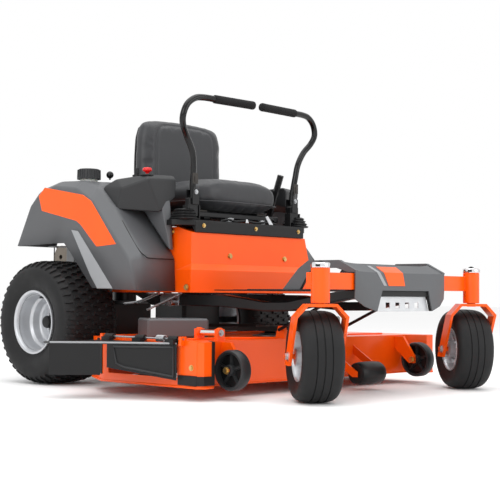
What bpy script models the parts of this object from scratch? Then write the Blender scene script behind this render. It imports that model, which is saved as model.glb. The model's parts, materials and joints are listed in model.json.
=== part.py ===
"""Zero turn mower: tubular frame, seat box, two drive wheels, two casters, lifting deck and lap bars.

Lengths are metres. Everything is laid out about the middle of the machine: x = 0 is its centre
plane, y = 0 the rear axle, z = 0 the ground. The front faces -Y and the operator's right is -X.
The empty "machine" then carries the whole assembly so that its box stands centred on the origin.
"""
import math

import bmesh
import bpy
from mathutils import Matrix, Vector

# ---- driving dimensions -------------------------------------------------------------------
BOX_MIDDLE = Vector((-0.131, -0.35574, 0.0))  # middle of the whole machine's footprint
GAP = 0.0004            # air left between two pieces that touch
WALL = 0.004            # moulded covers
SHEET = 0.003           # pressed steel

REAR_TYRE_RADIUS = 0.2225
REAR_TYRE_HALF_WIDTH = 0.1205
REAR_TRACK = 0.470      # centre plane to the middle of a rear wheel
REAR_RIM_RADIUS = 0.100

REAR_SIDES = 28          # flats round a rear wheel: rim and tyre share them, so they nest

FRONT_TYRE_RADIUS = 0.140
FRONT_TYRE_HALF_WIDTH = 0.066
FRONT_RIM_RADIUS = 0.068
FRONT_SIDES = 24
KINGPIN_X = 0.409
KINGPIN_Y = -1.197
CASTER_TRAIL = 0.070
CASTER_TURN = math.radians(-36.0)   # both casters stand turned about their kingpins
FORK_HALF_GAP = 0.074
FORK_PLATE = 0.009

BEAM_Y = (-1.190, -1.140)
BEAM_Z = (0.344, 0.395)
RAIL_X = (0.185, 0.225)
RAIL_REAR = 0.450

DECK_HALF_WIDTH = 0.618
DECK_TOP = 0.180
DECK_BOTTOM = 0.040
DECK_FRONT = -0.835
DECK_REAR = -0.270
SPINDLES = {"right": (-0.400, -0.490), "centre": (0.0, -0.620), "left": (0.400, -0.490)}
HINGE = (-(DECK_HALF_WIDTH + 0.0105), -0.642, 0.188)     # middle of the discharge guard's hinge rod
GAUGE_WHEEL = (0.490, -0.914, 0.092)    # middle of the wheel beside each front corner
BLADE_HALF = 0.205
BLADE_Z = 0.058
BELT_Z = 0.208
PULLEY_RADIUS = 0.050
CRANK = (0.0, 0.240)

LEVER_X = 0.262         # lap bar foot, either side of the centre plane
LEVER_Y = -0.489
LEVER_PIVOT_Z = 0.622
SWING_Z = 0.684         # pin on which a lap bar swings out
GRIP_RADIUS = 0.0155
BAR_RADIUS = 0.0115

SEAT_PIVOT = Vector((0.0, -0.450, 0.600))
SEAT_HALF_WIDTH = 0.236
FENDER_INNER = 0.3135
FENDER_OUTER = 0.500

ORANGE = (0.85, 0.14, 0.01)
GREY = (0.14, 0.14, 0.15)
BLACK = (0.015, 0.015, 0.016)
RUBBER = (0.02, 0.02, 0.021)
SILVER = (0.62, 0.63, 0.65)
STEEL = (0.35, 0.35, 0.36)


# ---- scene and helpers --------------------------------------------------------------------
for old in list(bpy.data.objects):
    bpy.data.objects.remove(old, do_unlink=True)

PARTS = bpy.data.collections.new("zero_turn_mower")
CUTTERS = bpy.data.collections.new("cutters")
for group in (PARTS, CUTTERS):
    bpy.context.scene.collection.children.link(group)

MACHINE = bpy.data.objects.new("machine", None)
MACHINE.location = -BOX_MIDDLE
PARTS.objects.link(MACHINE)


def material(name, colour, rough, metal=0.0):
    made = bpy.data.materials.new(name)
    made.use_nodes = True
    shader = made.node_tree.nodes["Principled BSDF"]
    shader.inputs["Base Color"].default_value = (*colour, 1.0)
    shader.inputs["Roughness"].default_value = rough
    shader.inputs["Metallic"].default_value = metal
    return made


def node(name, data, look=None, parent=None):
    """An object in the parts, or in the cutters where it has no look."""
    made = bpy.data.objects.new(name, data)
    made.parent = parent or MACHINE
    if look is None:
        CUTTERS.objects.link(made)
        made.hide_render = True
        made.display_type = "WIRE"
    else:
        PARTS.objects.link(made)
        data.materials.append(material(name, *look))
    return made


def mesh_node(name, bm, look=None, smooth=True):
    data = bpy.data.meshes.new(name)
    bmesh.ops.recalc_face_normals(bm, faces=bm.faces)
    bm.to_mesh(data)
    bm.free()
    if smooth:
        data.shade_smooth()
        data.set_sharp_from_angle(angle=math.radians(35))
    return node(name, data, look)


def pivot_at(made, point):
    """Puts the object's origin on its joint and leaves its shape where it is."""
    point = Vector(point)
    made.data.transform(Matrix.Translation(-point))
    made.location = point
    return made


def boolean(target, other, operation):
    step = target.modifiers.new(operation.lower(), "BOOLEAN")
    step.operation = operation
    step.object = other
    step.solver = "EXACT"


def fuse(target, *others):
    for other in others:
        boolean(target, other, "UNION")
    return target


def cut(target, *others):
    for other in others:
        boolean(target, other, "DIFFERENCE")
    return target


def box(name, x, y, z, look=None):
    """A block between two limits on each axis."""
    bm = bmesh.new()
    size = [high - low for low, high in (x, y, z)]
    middle = [(high + low) / 2 for low, high in (x, y, z)]
    bmesh.ops.create_cube(bm, size=1.0, matrix=Matrix.Translation(middle) @ Matrix.Diagonal((*size, 1.0)))
    return mesh_node(name, bm, look)


def rounded(made, width, segments=2):
    bevel = made.modifiers.new("rounded edges", "BEVEL")
    bevel.width = width
    bevel.segments = segments
    bevel.limit_method = "ANGLE"
    return made


TURN = {"X": Matrix.Rotation(math.pi / 2, 4, "Y"), "Y": Matrix.Rotation(-math.pi / 2, 4, "X"),
        "Z": Matrix.Identity(4)}


def cylinder(name, middle, axis, radius, length, look=None, sides=20, top=None):
    bm = bmesh.new()
    bmesh.ops.create_cone(bm, cap_ends=True, segments=sides, radius1=radius,
                          radius2=radius if top is None else top, depth=length,
                          matrix=Matrix.Translation(middle) @ TURN[axis])
    return mesh_node(name, bm, look)


def slab(name, outline, axis, low, high, look=None):
    """A flat outline raised between two heights along an axis: Z takes (x, y), X takes (y, z)."""
    bm = bmesh.new()
    place = {"Z": lambda a, b, c: (a, b, c), "X": lambda a, b, c: (c, a, b)}[axis]
    rings = [[bm.verts.new(place(a, b, c)) for a, b in outline] for c in (low, high)]
    bm.faces.new(rings[0])
    bm.faces.new(rings[1])
    count = len(outline)
    for i in range(count):
        j = (i + 1) % count
        bm.faces.new((rings[0][i], rings[0][j], rings[1][j], rings[1][i]))
    return mesh_node(name, bm, look)


def mirrored(outline):
    """The whole outline of a shape whose half runs from the centre plane and back to it."""
    return outline + [(-a, b) for a, b in reversed(outline) if abs(a) > 1e-6]


def turned(name, profile, look, steps=32):
    """A closed profile of (radius, height), down its outer side and up its inner side, turned about Z."""
    bm = bmesh.new()
    ring = [bm.verts.new((r, 0.0, z)) for r, z in profile]
    for a, b in zip(ring, ring[1:] + ring[:1]):
        bm.edges.new((a, b))
    data = bpy.data.meshes.new(name)
    bm.to_mesh(data)
    bm.free()
    made = node(name, data, look)
    screw = made.modifiers.new("turned", "SCREW")
    screw.steps = screw.render_steps = steps
    screw.use_merge_vertices = True
    screw.merge_threshold = 0.00005
    screw.use_smooth_shade = True
    return made


def sheet(name, rows, look, thickness=WALL):
    """A moulded or folded sheet through rows of points, with its wall on the inner side."""
    bm = bmesh.new()
    grid = [[bm.verts.new(point) for point in row] for row in rows]
    for upper, lower in zip(grid, grid[1:]):
        for i in range(len(upper) - 1):
            bm.faces.new((upper[i], upper[i + 1], lower[i + 1], lower[i]))
    bmesh.ops.remove_doubles(bm, verts=bm.verts, dist=1e-6)
    made = mesh_node(name, bm, look)
    wall = made.modifiers.new("wall", "SOLIDIFY")
    wall.thickness = thickness
    wall.offset = -1.0
    wall.use_even_offset = True
    return made


def hull(name, points, look=None):
    bm = bmesh.new()
    for point in points:
        bm.verts.new(point)
    bmesh.ops.convex_hull(bm, input=bm.verts)
    return mesh_node(name, bm, look)


def smooth_path(points, per_span=4, closed=False):
    """Points on a Catmull-Rom curve through the given ones."""
    count = len(points)
    points = [Vector(p) for p in points]
    spans = count if closed else count - 1
    path = []
    for i in range(spans):
        if closed:
            a, b, c, d = (points[(i + k) % count] for k in (-1, 0, 1, 2))
        else:
            a, b, c, d = (points[min(max(i + k, 0), count - 1)] for k in (-1, 0, 1, 2))
        for step in range(per_span):
            t = step / per_span
            path.append(0.5 * (2 * b + (c - a) * t + (2 * a - 5 * b + 4 * c - d) * t**2
                               + (3 * b - a - 3 * c + d) * t**3))
    return path if closed else path + [points[-1]]


def tube(name, points, radius, look=None, resolution=2):
    """A round bar along the points, with closed ends. It becomes a mesh, so it can be joined or cut."""
    data = bpy.data.curves.new(name, "CURVE")
    data.dimensions = "3D"
    data.bevel_depth = radius
    data.bevel_resolution = resolution
    data.use_fill_caps = True
    spline = data.splines.new("POLY")
    spline.points.add(len(points) - 1)
    for knot, point in zip(spline.points, points):
        knot.co = (*point, 1.0)
    guide = bpy.data.objects.new(name + " line", data)
    CUTTERS.objects.link(guide)
    bpy.context.view_layer.update()
    solid = bpy.data.meshes.new_from_object(guide.evaluated_get(bpy.context.evaluated_depsgraph_get()))
    bpy.data.objects.remove(guide, do_unlink=True)
    bm = bmesh.new()
    bm.from_mesh(solid)
    bmesh.ops.remove_doubles(bm, verts=bm.verts, dist=1e-6)
    return mesh_node(name, bm, look)


def mirror_x(points, side):
    return [(side * x, y, z) for x, y, z in points]


# ---- frame --------------------------------------------------------------------------------
def frame_rail(name, side):
    """High beside the engine, low under the seat box, and up again to meet the cross tube from below."""
    under_beam = BEAM_Z[0] - GAP
    upper = [(RAIL_REAR, 0.3950), (-0.060, 0.3950), (-0.220, 0.3280), (-0.600, 0.3260), (-0.800, 0.3020),
             (-0.900, 0.3040), (-1.1400, under_beam), (-1.1880, under_beam)]
    lower = [(RAIL_REAR, 0.3500), (-0.080, 0.3500), (-0.235, 0.2860), (-0.600, 0.2840), (-0.800, 0.2710),
             (-0.910, 0.2730), (-1.1880, 0.3200)]
    x = sorted((side * RAIL_X[0], side * RAIL_X[1]))
    return rounded(slab(name, upper + lower[::-1], "X", *x, (BLACK, 0.45)), 0.003, 1)


def front_axle_beam():
    """The cross tube with an upright caster tube welded to each end and bored for its kingpin."""
    beam = box("front_axle_beam", (-KINGPIN_X, KINGPIN_X), BEAM_Y, BEAM_Z, (ORANGE, 0.35))
    for side in (-1, 1):
        middle = (side * KINGPIN_X, KINGPIN_Y, 0.3545)
        fuse(beam, cylinder("caster tube", middle, "Z", 0.0285, 0.105, sides=28))
    for side in (-1, 1):
        middle = (side * KINGPIN_X, KINGPIN_Y, 0.3545)
        cut(beam, cylinder("kingpin bore", middle, "Z", 0.0165, 0.200, sides=24))
    return beam


def foot_pan():
    """The floor sheet under the rails, and the slope the feet press on, up to the shield."""
    floor = box("foot_pan", (-0.262, 0.262), (-1.040, -0.600), (0.3395, 0.3430), (BLACK, 0.6))
    slope = [(-1.000, 0.3395), (-1.045, 0.3395), (-1.108, 0.4180), (-1.150, 0.4230),
             (-1.150, 0.4270), (-1.104, 0.4220), (-1.043, 0.3430), (-1.000, 0.3430)]
    return fuse(floor, slab("foot slope", slope, "X", -0.182, 0.182))


def foot_fascia():
    """The moulded shield in front of the feet, with an arch back to the floor at either side."""
    half = [  # x, then (y, z) of the upper edge, the slope, the lip and the lower edge
        (0.000, (-1.160, 0.425), (-1.200, 0.399), (-1.214, 0.350), (-1.215, 0.342)),
        (0.126, (-1.160, 0.425), (-1.200, 0.399), (-1.214, 0.350), (-1.215, 0.342)),
        (0.150, (-1.160, 0.425), (-1.200, 0.399), (-1.214, 0.350), (-1.213, 0.276)),
        (0.205, (-1.150, 0.428), (-1.199, 0.400), (-1.208, 0.350), (-1.206, 0.292)),
        (0.242, (-1.128, 0.434), (-1.198, 0.402), (-1.198, 0.350), (-1.196, 0.316)),
    ]
    columns = [(-x, *rest) for x, *rest in reversed(half[1:])] + half
    rows = [[(x, *edge[i]) for x, *edge in columns] for i in range(4)]
    shield = sheet("foot_fascia", rows, (GREY, 0.55))
    arch = [(-0.8970, 0.3440), (-0.9700, 0.3440), (-1.0050, 0.3960), (-1.0250, 0.4120),
            (-1.1200, 0.4120), (-1.1700, 0.3985), (-1.1980, 0.3985), (-1.1990, 0.4040), (-1.1320, 0.4370),
            (-1.0050, 0.4370), (-0.9630, 0.4110)]
    for side in (-1, 1):
        x = sorted((side * 0.2290, side * 0.2430))
        fuse(shield, slab("arch", arch, "X", *x))
    return shield


def step_tread():
    """The bright step under the shield: a hanging plate with four slots along its lower edge."""
    half = [(0.0, 0.3395), (0.124, 0.3395), (0.145, 0.2760), (0.0, 0.2760)]
    plate = slab("step_tread", mirrored(half), "Z", 0.0, 0.004, (SILVER, 0.4, 0.6))
    plate.data.transform(Matrix.Translation((0.0, -1.196, 0.0)) @ Matrix.Rotation(math.pi / 2, 4, "X"))
    for x in (-0.078, -0.026, 0.026, 0.078):
        cut(plate, box("slot", (x - 0.011, x + 0.011), (-1.22, -1.18), (0.286, 0.304)))
    return plate


def seat_box():
    """The folded orange cover: open below and behind, its side walls drawn in behind the front panel."""
    levels = [  # z at the front, z behind, half width in front, y in front, half width behind
        (0.332, 0.332, 0.335, -0.560, 0.309),
        (0.410, 0.410, 0.335, -0.560, 0.309),
        (0.432, 0.432, 0.313, -0.538, 0.307),
        (0.541, 0.562, 0.299, -0.524, 0.299),
    ]
    rows = []
    for front_z, back_z, front_x, front_y, back_x in levels:
        right = [(-back_x, -0.110, back_z), (-back_x, -0.455, back_z), (-front_x, front_y, front_z)]
        left = [(-x, y, z) for x, y, z in reversed(right)]
        rows.append(right + left)
    bm = bmesh.new()
    rings = [[bm.verts.new(p) for p in row] for row in rows]
    for lower, upper in zip(rings, rings[1:]):
        for i in range(len(lower) - 1):
            bm.faces.new((lower[i], lower[i + 1], upper[i + 1], upper[i]))
    bm.faces.new(rings[-1])
    made = mesh_node("seat_box", bm, (ORANGE, 0.35))
    wall = made.modifiers.new("wall", "SOLIDIFY")
    wall.thickness = SHEET
    wall.offset = -1.0
    wall.use_even_offset = True
    return made


def lever_tray():
    """The black tray across the front of the seat box, with a pair of plates for each lever pivot."""
    outline = [(0.0, -0.527), (0.290, -0.527), (0.335, -0.490), (0.345, -0.472), (0.340, -0.440),
               (0.300, -0.438), (0.296, -0.400), (0.0, -0.400)]
    tray = slab("lever_tray", mirrored(outline), "Z", 0.5660, 0.5850, (BLACK, 0.4))
    front = [(-0.5290, 0.5425), (-0.5250, 0.5425), (-0.5080, 0.5665), (-0.5080, 0.5800), (-0.5290, 0.5800)]
    fuse(tray, slab("front lip", front, "X", -0.285, 0.285))
    for side in (-1, 1):
        for x in (0.2405, 0.2935):
            limits = sorted((side * (x - 0.0025), side * (x + 0.0025)))
            fuse(tray, box("pivot plate", limits, (LEVER_Y - 0.014, LEVER_Y + 0.014), (0.580, 0.638)))
    return tray


# ---- rear body ----------------------------------------------------------------------------
def fender(name, side):
    """A moulded shell over the rear wheel that folds down in front of it, with the console pod on top."""
    inner = [(0.226, 0.505), (0.150, 0.668), (0.094, 0.722), (0.010, 0.738), (-0.120, 0.736),
             (-0.215, 0.728), (-0.300, 0.640), (-0.452, 0.452), (-0.459, 0.337)]
    shoulder = [(0.224, 0.505), (0.148, 0.666), (0.092, 0.720), (0.006, 0.738), (-0.120, 0.733),
                (-0.215, 0.706), (-0.312, 0.618), (-0.446, 0.458), (-0.462, 0.337)]
    outer = [(0.219, 0.504), (0.137, 0.651), (0.084, 0.696), (-0.002, 0.716), (-0.130, 0.702),
             (-0.221, 0.651), (-0.325, 0.545), (-0.429, 0.440), (-0.470, 0.338)]
    arch = [(0.190, 0.503), (0.120, 0.505), (0.060, 0.506), (-0.010, 0.507), (-0.070, 0.507),
            (-0.105, 0.475), (-0.165, 0.415), (-0.233, 0.346), (-0.350, 0.341)]
    rows = [[(side * x, y, z) for y, z in line] for x, line in (
        (FENDER_INNER, inner), (0.455, shoulder), (FENDER_OUTER, outer), (FENDER_OUTER, arch))]
    shell = sheet(name, rows, (GREY, 0.5))
    if side < 0:
        shell.data.flip_normals()
    pod = [(0.290, -0.436, 0.728), (0.398, -0.404, 0.726), (0.290, -0.420, 0.744), (0.385, -0.385, 0.744),
           (0.448, -0.322, 0.694), (0.430, -0.270, 0.730), (0.448, -0.225, 0.705), (0.290, -0.205, 0.738),
           (0.290, -0.433, 0.668), (0.350, -0.418, 0.610), (0.448, -0.302, 0.620), (0.448, -0.225, 0.680),
           (0.290, -0.215, 0.700)]
    fuse(shell, hull("console pod", mirror_x(pod, side)))
    if side < 0:
        cut(shell, cylinder("neck hole", (-0.400, -0.083, 0.735), "Z", 0.0340, 0.040))
    return shell


def engine_plate():
    plate = box("engine_plate", (-0.226, 0.226), (0.060, 0.449), (BEAM_Z[1] + GAP, 0.401), (BLACK, 0.5))
    return cut(plate, cylinder("crank hole", (*CRANK, 0.398), "Z", 0.030, 0.050))


def rear_guard():
    """The bumper tube bent round behind the engine from rail to rail."""
    half = [(0.205, RAIL_REAR + 0.003, 0.3700), (0.205, 0.480, 0.3680), (0.208, 0.520, 0.345),
            (0.190, 0.552, 0.328), (0.130, 0.555, 0.325)]
    whole = half + [(-x, y, z) for x, y, z in reversed(half)]
    return tube("rear_guard", smooth_path(whole, 2), 0.0125, (BLACK, 0.45))


# ---- engine and drive ---------------------------------------------------------------------
def engine_block():
    """Crankcase on its mounting foot, with the finned cylinder to the rear and the crankshaft below."""
    x, y = CRANK
    block = rounded(box("engine_block", (-0.120, 0.120), (y - 0.120, y + 0.110), (0.4015, 0.530), (STEEL, 0.5, 0.5)),
                    0.012, 1)
    fuse(block, cylinder("crankshaft", (x, y, 0.360), "Z", 0.014, 0.100, sides=16))
    fuse(block, box("cylinder", (-0.060, 0.060), (y + 0.090, y + 0.190), (0.440, 0.515)))
    return block


def engine_shroud():
    x, y = CRANK
    profile = [(0.060, 0.640), (0.120, 0.634), (0.150, 0.612), (0.156, 0.580), (0.156, 0.5305),
               (0.148, 0.5305), (0.148, 0.575), (0.060, 0.585)]
    shroud = turned("engine_shroud", profile, (BLACK, 0.4), 20)
    shroud.location = (x, y, 0.0)
    return shroud


def muffler():
    return rounded(cylinder("muffler", (0.0, 0.487, 0.478), "X", 0.048, 0.180, (STEEL, 0.55, 0.8), sides=18), 0.006, 1)


def transaxle(name, side):
    """Hydrostatic pump and gearbox in one casing, with the axle it drives the wheel by."""
    casing = rounded(box(name, sorted((side * 0.082, side * 0.290)), (-0.085, 0.095), (0.150, 0.300),
                         (STEEL, 0.5, 0.4)), 0.012, 1)
    fuse(casing, cylinder("axle", (side * 0.385, 0.0, REAR_TYRE_RADIUS), "X", 0.0125, 0.220, sides=16))
    fuse(casing, cylinder("pump", (side * 0.170, -0.020, 0.320), "Z", 0.045, 0.050, sides=16))
    return casing


def fuel_tank():
    tank = rounded(box("fuel_tank", (-0.455, -0.335), (-0.185, 0.060), (0.520, 0.690), ((0.8, 0.8, 0.78), 0.5)),
                   0.015, 1)
    return fuse(tank, cylinder("filler neck", (-0.400, -0.083, 0.715), "Z", 0.032, 0.070, sides=20))


def fuel_cap():
    profile = [(0.0330, 0.0400), (0.0395, 0.0370), (0.0435, 0.0), (0.0330, 0.0), (0.0330, 0.0100),
               (0.0060, 0.0150), (0.0060, 0.0400)]
    cap = turned("fuel_cap", profile, (BLACK, 0.5), 20)
    cap.location = (-0.400, -0.083, 0.7425)
    return cap


def battery():
    return rounded(box("battery", (-0.095, 0.095), (-0.330, -0.200), (0.385, 0.535), (BLACK, 0.6)), 0.006, 1)


def crank_pulley():
    """The blade clutch and its drum, tall enough for the belt to ride up it as the deck lifts."""
    profile = [(0.060, 0.338), (0.060, 0.300), (0.040, 0.296), (0.040, 0.182), (0.052, 0.178),
               (0.052, 0.172), (0.0160, 0.172), (0.0160, 0.338)]
    drum = turned("crank_pulley", profile, (STEEL, 0.4, 0.8), 20)
    drum.location = (*CRANK, 0.0)
    return drum


# ---- deck ---------------------------------------------------------------------------------
def deck_outline(inset=0.0):
    """Half of the deck in plan. The front corner reaches forward beside the gauge wheel."""
    edge = DECK_HALF_WIDTH - inset
    return [(0.0, DECK_FRONT + inset), (0.520 + inset * 0.6, DECK_FRONT + inset),
            (0.563 + inset * 0.8, -0.903 + inset), (0.603 - inset, -0.903 + inset), (edge, -0.889 + inset * 0.4),
            (edge, -0.440 - inset * 0.6), (0.520 - inset * 0.6, DECK_REAR - inset), (0.0, DECK_REAR - inset)]


def deck_shell():
    """The pressed shell: open below, with the discharge mouth in its right side and the hanger ears on top."""
    shell = slab("deck_shell", mirrored(deck_outline()), "Z", DECK_BOTTOM, DECK_TOP, (ORANGE, 0.35))
    cut(shell, slab("inside", mirrored(deck_outline(SHEET)), "Z", DECK_BOTTOM - 0.02, DECK_TOP - SHEET))
    edge = -DECK_HALF_WIDTH
    cut(shell, box("mouth", (edge - 0.02, edge + 0.02), (-0.800, -0.470), (0.068, 0.166)))
    for x, y in SPINDLES.values():
        cut(shell, cylinder("spindle hole", (x, y, DECK_TOP), "Z", 0.0265, 0.030))
    for y in (-0.736, -0.828):
        fuse(shell, box("ear", (-0.474, -0.440), (y, y + 0.012), (0.175, 0.216)))
    fuse(shell, cylinder("ear rod", (-0.457, -0.776, 0.2040), "Y", 0.0070, 0.090, sides=10))
    for side in (-1, 1):
        x = sorted((side * 0.140, side * 0.156))
        fuse(shell, slab("front hanger", [(-0.832, 0.175), (-0.822, 0.222), (-0.800, 0.222), (-0.785, 0.175)], "X", *x))
        x = sorted((side * 0.4510, side * 0.4630))
        arm = [(-0.924, 0.105), (-0.924, 0.080), (-0.900, 0.080), (-0.830, 0.140), (-0.830, 0.176), (-0.875, 0.176)]
        fuse(shell, slab("gauge wheel arm", arm, "X", *x))
        axle = (side * 0.4860, GAUGE_WHEEL[1], GAUGE_WHEEL[2])
        fuse(shell, cylinder("gauge axle", axle, "X", 0.0060, 0.066, sides=12))
    for x in (0.062, 0.206):
        arm = [(-0.965, 0.066), (-0.965, 0.048), (-0.945, 0.048), (-0.8335, 0.120), (-0.8335, 0.150)]
        fuse(shell, slab("roller arm", arm, "X", x, x + 0.006))
    fuse(shell, cylinder("roller axle", (0.137, -0.953, 0.0585), "X", 0.0050, 0.148, sides=12))
    for y in (-0.836, -0.460):
        fuse(shell, box("rod bracket", (edge - 0.018, edge + 0.004), (y, y + 0.012), (0.168, 0.196)))
    return cut(shell, cylinder("rod seat", HINGE, "Y", 0.0037, 0.500, sides=12))


def belt_cover(name, side):
    """A grey lid over the belt and pulley, standing on the deck and turned along the belt."""
    cover = rounded(box(name, (-0.105, 0.105), (-0.085, 0.085), (0.0, 0.064), (GREY, 0.5)), 0.006, 1)
    cut(cover, box("cover inside", (-0.100, 0.100), (-0.080, 0.080), (-0.010, 0.059)))
    cut(cover, box("belt way", (0.040, 0.140), (-0.072, 0.140), (-0.010, 0.048)))
    cut(cover, box("belt way behind", (-0.080, 0.140), (0.050, 0.140), (-0.010, 0.048)))
    place = Matrix.Translation((-0.372, -0.512, DECK_TOP + GAP)) @ Matrix.Rotation(math.radians(-30), 4, "Z")
    if side > 0:
        place = Matrix.Diagonal((-1.0, 1.0, 1.0, 1.0)) @ place
    for piece in [cover] + [step.object for step in cover.modifiers if step.type == "BOOLEAN"]:
        piece.data.transform(place)
        if side > 0:
            piece.data.flip_normals()
    return cover


def deck_belt():
    """One belt round the crank drum, two idler corners and the three blade pulleys."""
    (rx, ry), (cx, cy) = SPINDLES["left"], SPINDLES["centre"]
    reach = PULLEY_RADIUS + 0.0065
    drum = 0.0510

    def arc(x, y, radius, start, stop, steps):
        angles = [math.radians(start + (stop - start) * i / steps) for i in range(steps + 1)]
        return [(x + radius * math.cos(a), y + radius * math.sin(a)) for a in angles]

    right_side = arc(*CRANK, drum, 90, 0, 6) + [(drum, -0.200), (0.062, -0.240), (0.090, -0.262)]
    right_side += arc(rx, ry, reach, 70, -105, 9) + arc(cx, cy, reach, -72, -90, 1)
    path = right_side + [(-x, y) for x, y in reversed(right_side[1:-1])]
    count = len(path)
    bm = bmesh.new()
    rings = []
    for across, z in ((-0.005, -0.006), (0.005, -0.006), (0.005, 0.006), (-0.005, 0.006)):
        ring = []
        for i, (x, y) in enumerate(path):
            before, after = Vector(path[i - 1]), Vector(path[(i + 1) % count])
            along = (after - before).normalized()
            ring.append(bm.verts.new((x - along.y * across, y + along.x * across, BELT_Z + z)))
        rings.append(ring)
    for ring, following in zip(rings, rings[1:] + rings[:1]):
        for i in range(count):
            j = (i + 1) % count
            bm.faces.new((ring[i], ring[j], following[j], following[i]))
    return mesh_node("deck_belt", bm, (BLACK, 0.8))


def spindle(name, x, y):
    """Blade shaft through the deck, with the flat-faced pulley above and the blade boss below."""
    high, low = BELT_Z + 0.010, BELT_Z - 0.010
    profile = [(PULLEY_RADIUS, high), (PULLEY_RADIUS, low), (0.020, low - 0.002), (0.020, 0.0670),
               (0.0110, 0.0670), (0.0110, 0.0480), (0.0040, 0.0480), (0.0040, high + 0.007), (0.016, high + 0.007),
               (0.016, high)]
    made = turned(name, profile, (STEEL, 0.4, 0.8), 16)
    made.location = (x, y, 0.0)
    return made


def blade(name, x, y, angle):
    """A flat bar with its ends turned up as air lifts, held under the spindle boss."""
    tip = BLADE_HALF - 0.002
    half = [(0.0, -0.029), (tip, -0.026), (tip, 0.026), (0.0, 0.029)]
    made = slab(name, mirrored(half), "Z", BLADE_Z - 0.0025, BLADE_Z + 0.0025, (STEEL, 0.35, 0.9))
    cut(made, cylinder("boss hole", (0.0, 0.0, BLADE_Z), "Z", 0.0118, 0.040, sides=16))
    made.location = (x, y, 0.0)
    made.rotation_euler = (0.0, 0.0, math.radians(angle))
    for step in made.modifiers:
        step.object.location = made.location
    return made


def chute_hinge_rod():
    return cylinder("chute_hinge_rod", HINGE, "Y", 0.0032, 0.392, (STEEL, 0.4, 0.9), sides=12)


def chute_deflector():
    """The black discharge guard: a top plate that widens to the rear, a front wall and an outer flap."""
    x = DECK_HALF_WIDTH + 0.0170
    top = [(-x, -0.815), (-0.760, -0.620), (-0.880, -0.500), (-0.868, -0.455), (-x, -0.464)]
    guard = slab("chute_deflector", top, "Z", 0.1700, 0.1760, (BLACK, 0.5))
    wall = [(-x, -0.815, 0.062), (-0.755, -0.627, 0.098), (-0.752, -0.6235, 0.098), (-x + 0.002, -0.807, 0.062)]
    front = [(px, py, 0.172) for px, py, pz in wall] + wall
    fuse(guard, hull("front wall", front))
    flap = [(-0.768, -0.612), (-0.880, -0.500), (-0.872, -0.494), (-0.762, -0.604)]
    fuse(guard, hull("outer flap", [(a, b, z) for a, b in flap for z in (0.074, 0.172)]))
    for y in (-0.795, HINGE[1], -0.490):
        fuse(guard, cylinder("hinge loop", (HINGE[0], y, HINGE[2]), "Y", 0.0095, 0.040, sides=12))
        fuse(guard, box("hinge leaf", (-0.650, -0.630), (y - 0.0195, y + 0.0195), (0.172, 0.187)))
    cut(guard, cylinder("rod bore", HINGE, "Y", 0.0045, 0.500, sides=12))
    return pivot_at(guard, HINGE)


def gauge_wheel(name, side):
    profile = [(0.0590, 0.0205), (0.0632, 0.0160), (0.0632, -0.0160), (0.0590, -0.0205),
               (0.0480, -0.0205), (0.0460, -0.0060), (0.0170, -0.0060), (0.0150, -0.0205), (0.0068, -0.0205),
               (0.0068, 0.0205), (0.0150, 0.0205), (0.0170, 0.0060), (0.0460, 0.0060), (0.0480, 0.0205)]
    made = turned(name, profile, (BLACK, 0.4), 20)
    made.location = (side * GAUGE_WHEEL[0], GAUGE_WHEEL[1], GAUGE_WHEEL[2])
    made.rotation_euler = (0.0, math.pi / 2, 0.0)
    return made


def front_roller():
    profile = [(0.0330, 0.0650), (0.0390, 0.0530), (0.0405, 0.0), (0.0390, -0.0530), (0.0330, -0.0650),
               (0.0056, -0.0650), (0.0056, 0.0650)]
    made = turned("front_roller", profile, (BLACK, 0.5), 20)
    made.location = (0.137, -0.953, 0.0585)
    made.rotation_euler = (0.0, math.pi / 2, 0.0)
    return made


def deck_link():
    """The bent rod whose cross bar turns under the frame and whose arms carry the deck's front edge."""
    half = [(0.150, -1.0600, 0.3180), (0.163, -1.0560, 0.3165), (0.168, -1.0440, 0.3110), (0.168, -0.8130, 0.2080)]
    whole = [(-x, y, z) for x, y, z in reversed(half)] + half
    return pivot_at(tube("deck_link", whole, 0.0055, (BLACK, 0.4), 1), (0.0, -1.060, 0.318))


def lift_lever():
    """The deck height lever at the operator's left, a flat bar under a black grip."""
    foot, top = Vector((0.262, -0.360, 0.600)), Vector((0.262, -0.421, 0.760))
    along = (top - foot).normalized()
    lever = tube("lift_lever", [top - along * 0.035, top + along * 0.030], 0.0125, (BLACK, 0.45))
    across = Vector((0.0, -along.z, along.y)) * 0.011
    bar = []
    for end in (foot - along * 0.008, top):
        bar += [end + across * k + Vector((x, 0, 0)) for k in (-1, 1) for x in (-0.004, 0.004)]
    fuse(lever, hull("lever bar", bar))
    return pivot_at(lever, foot)


# ---- wheels -------------------------------------------------------------------------------
def even_ring(half):
    """A profile from its upper half, mirrored below."""
    return half + [(r, -z) for r, z in reversed(half)]


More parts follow.
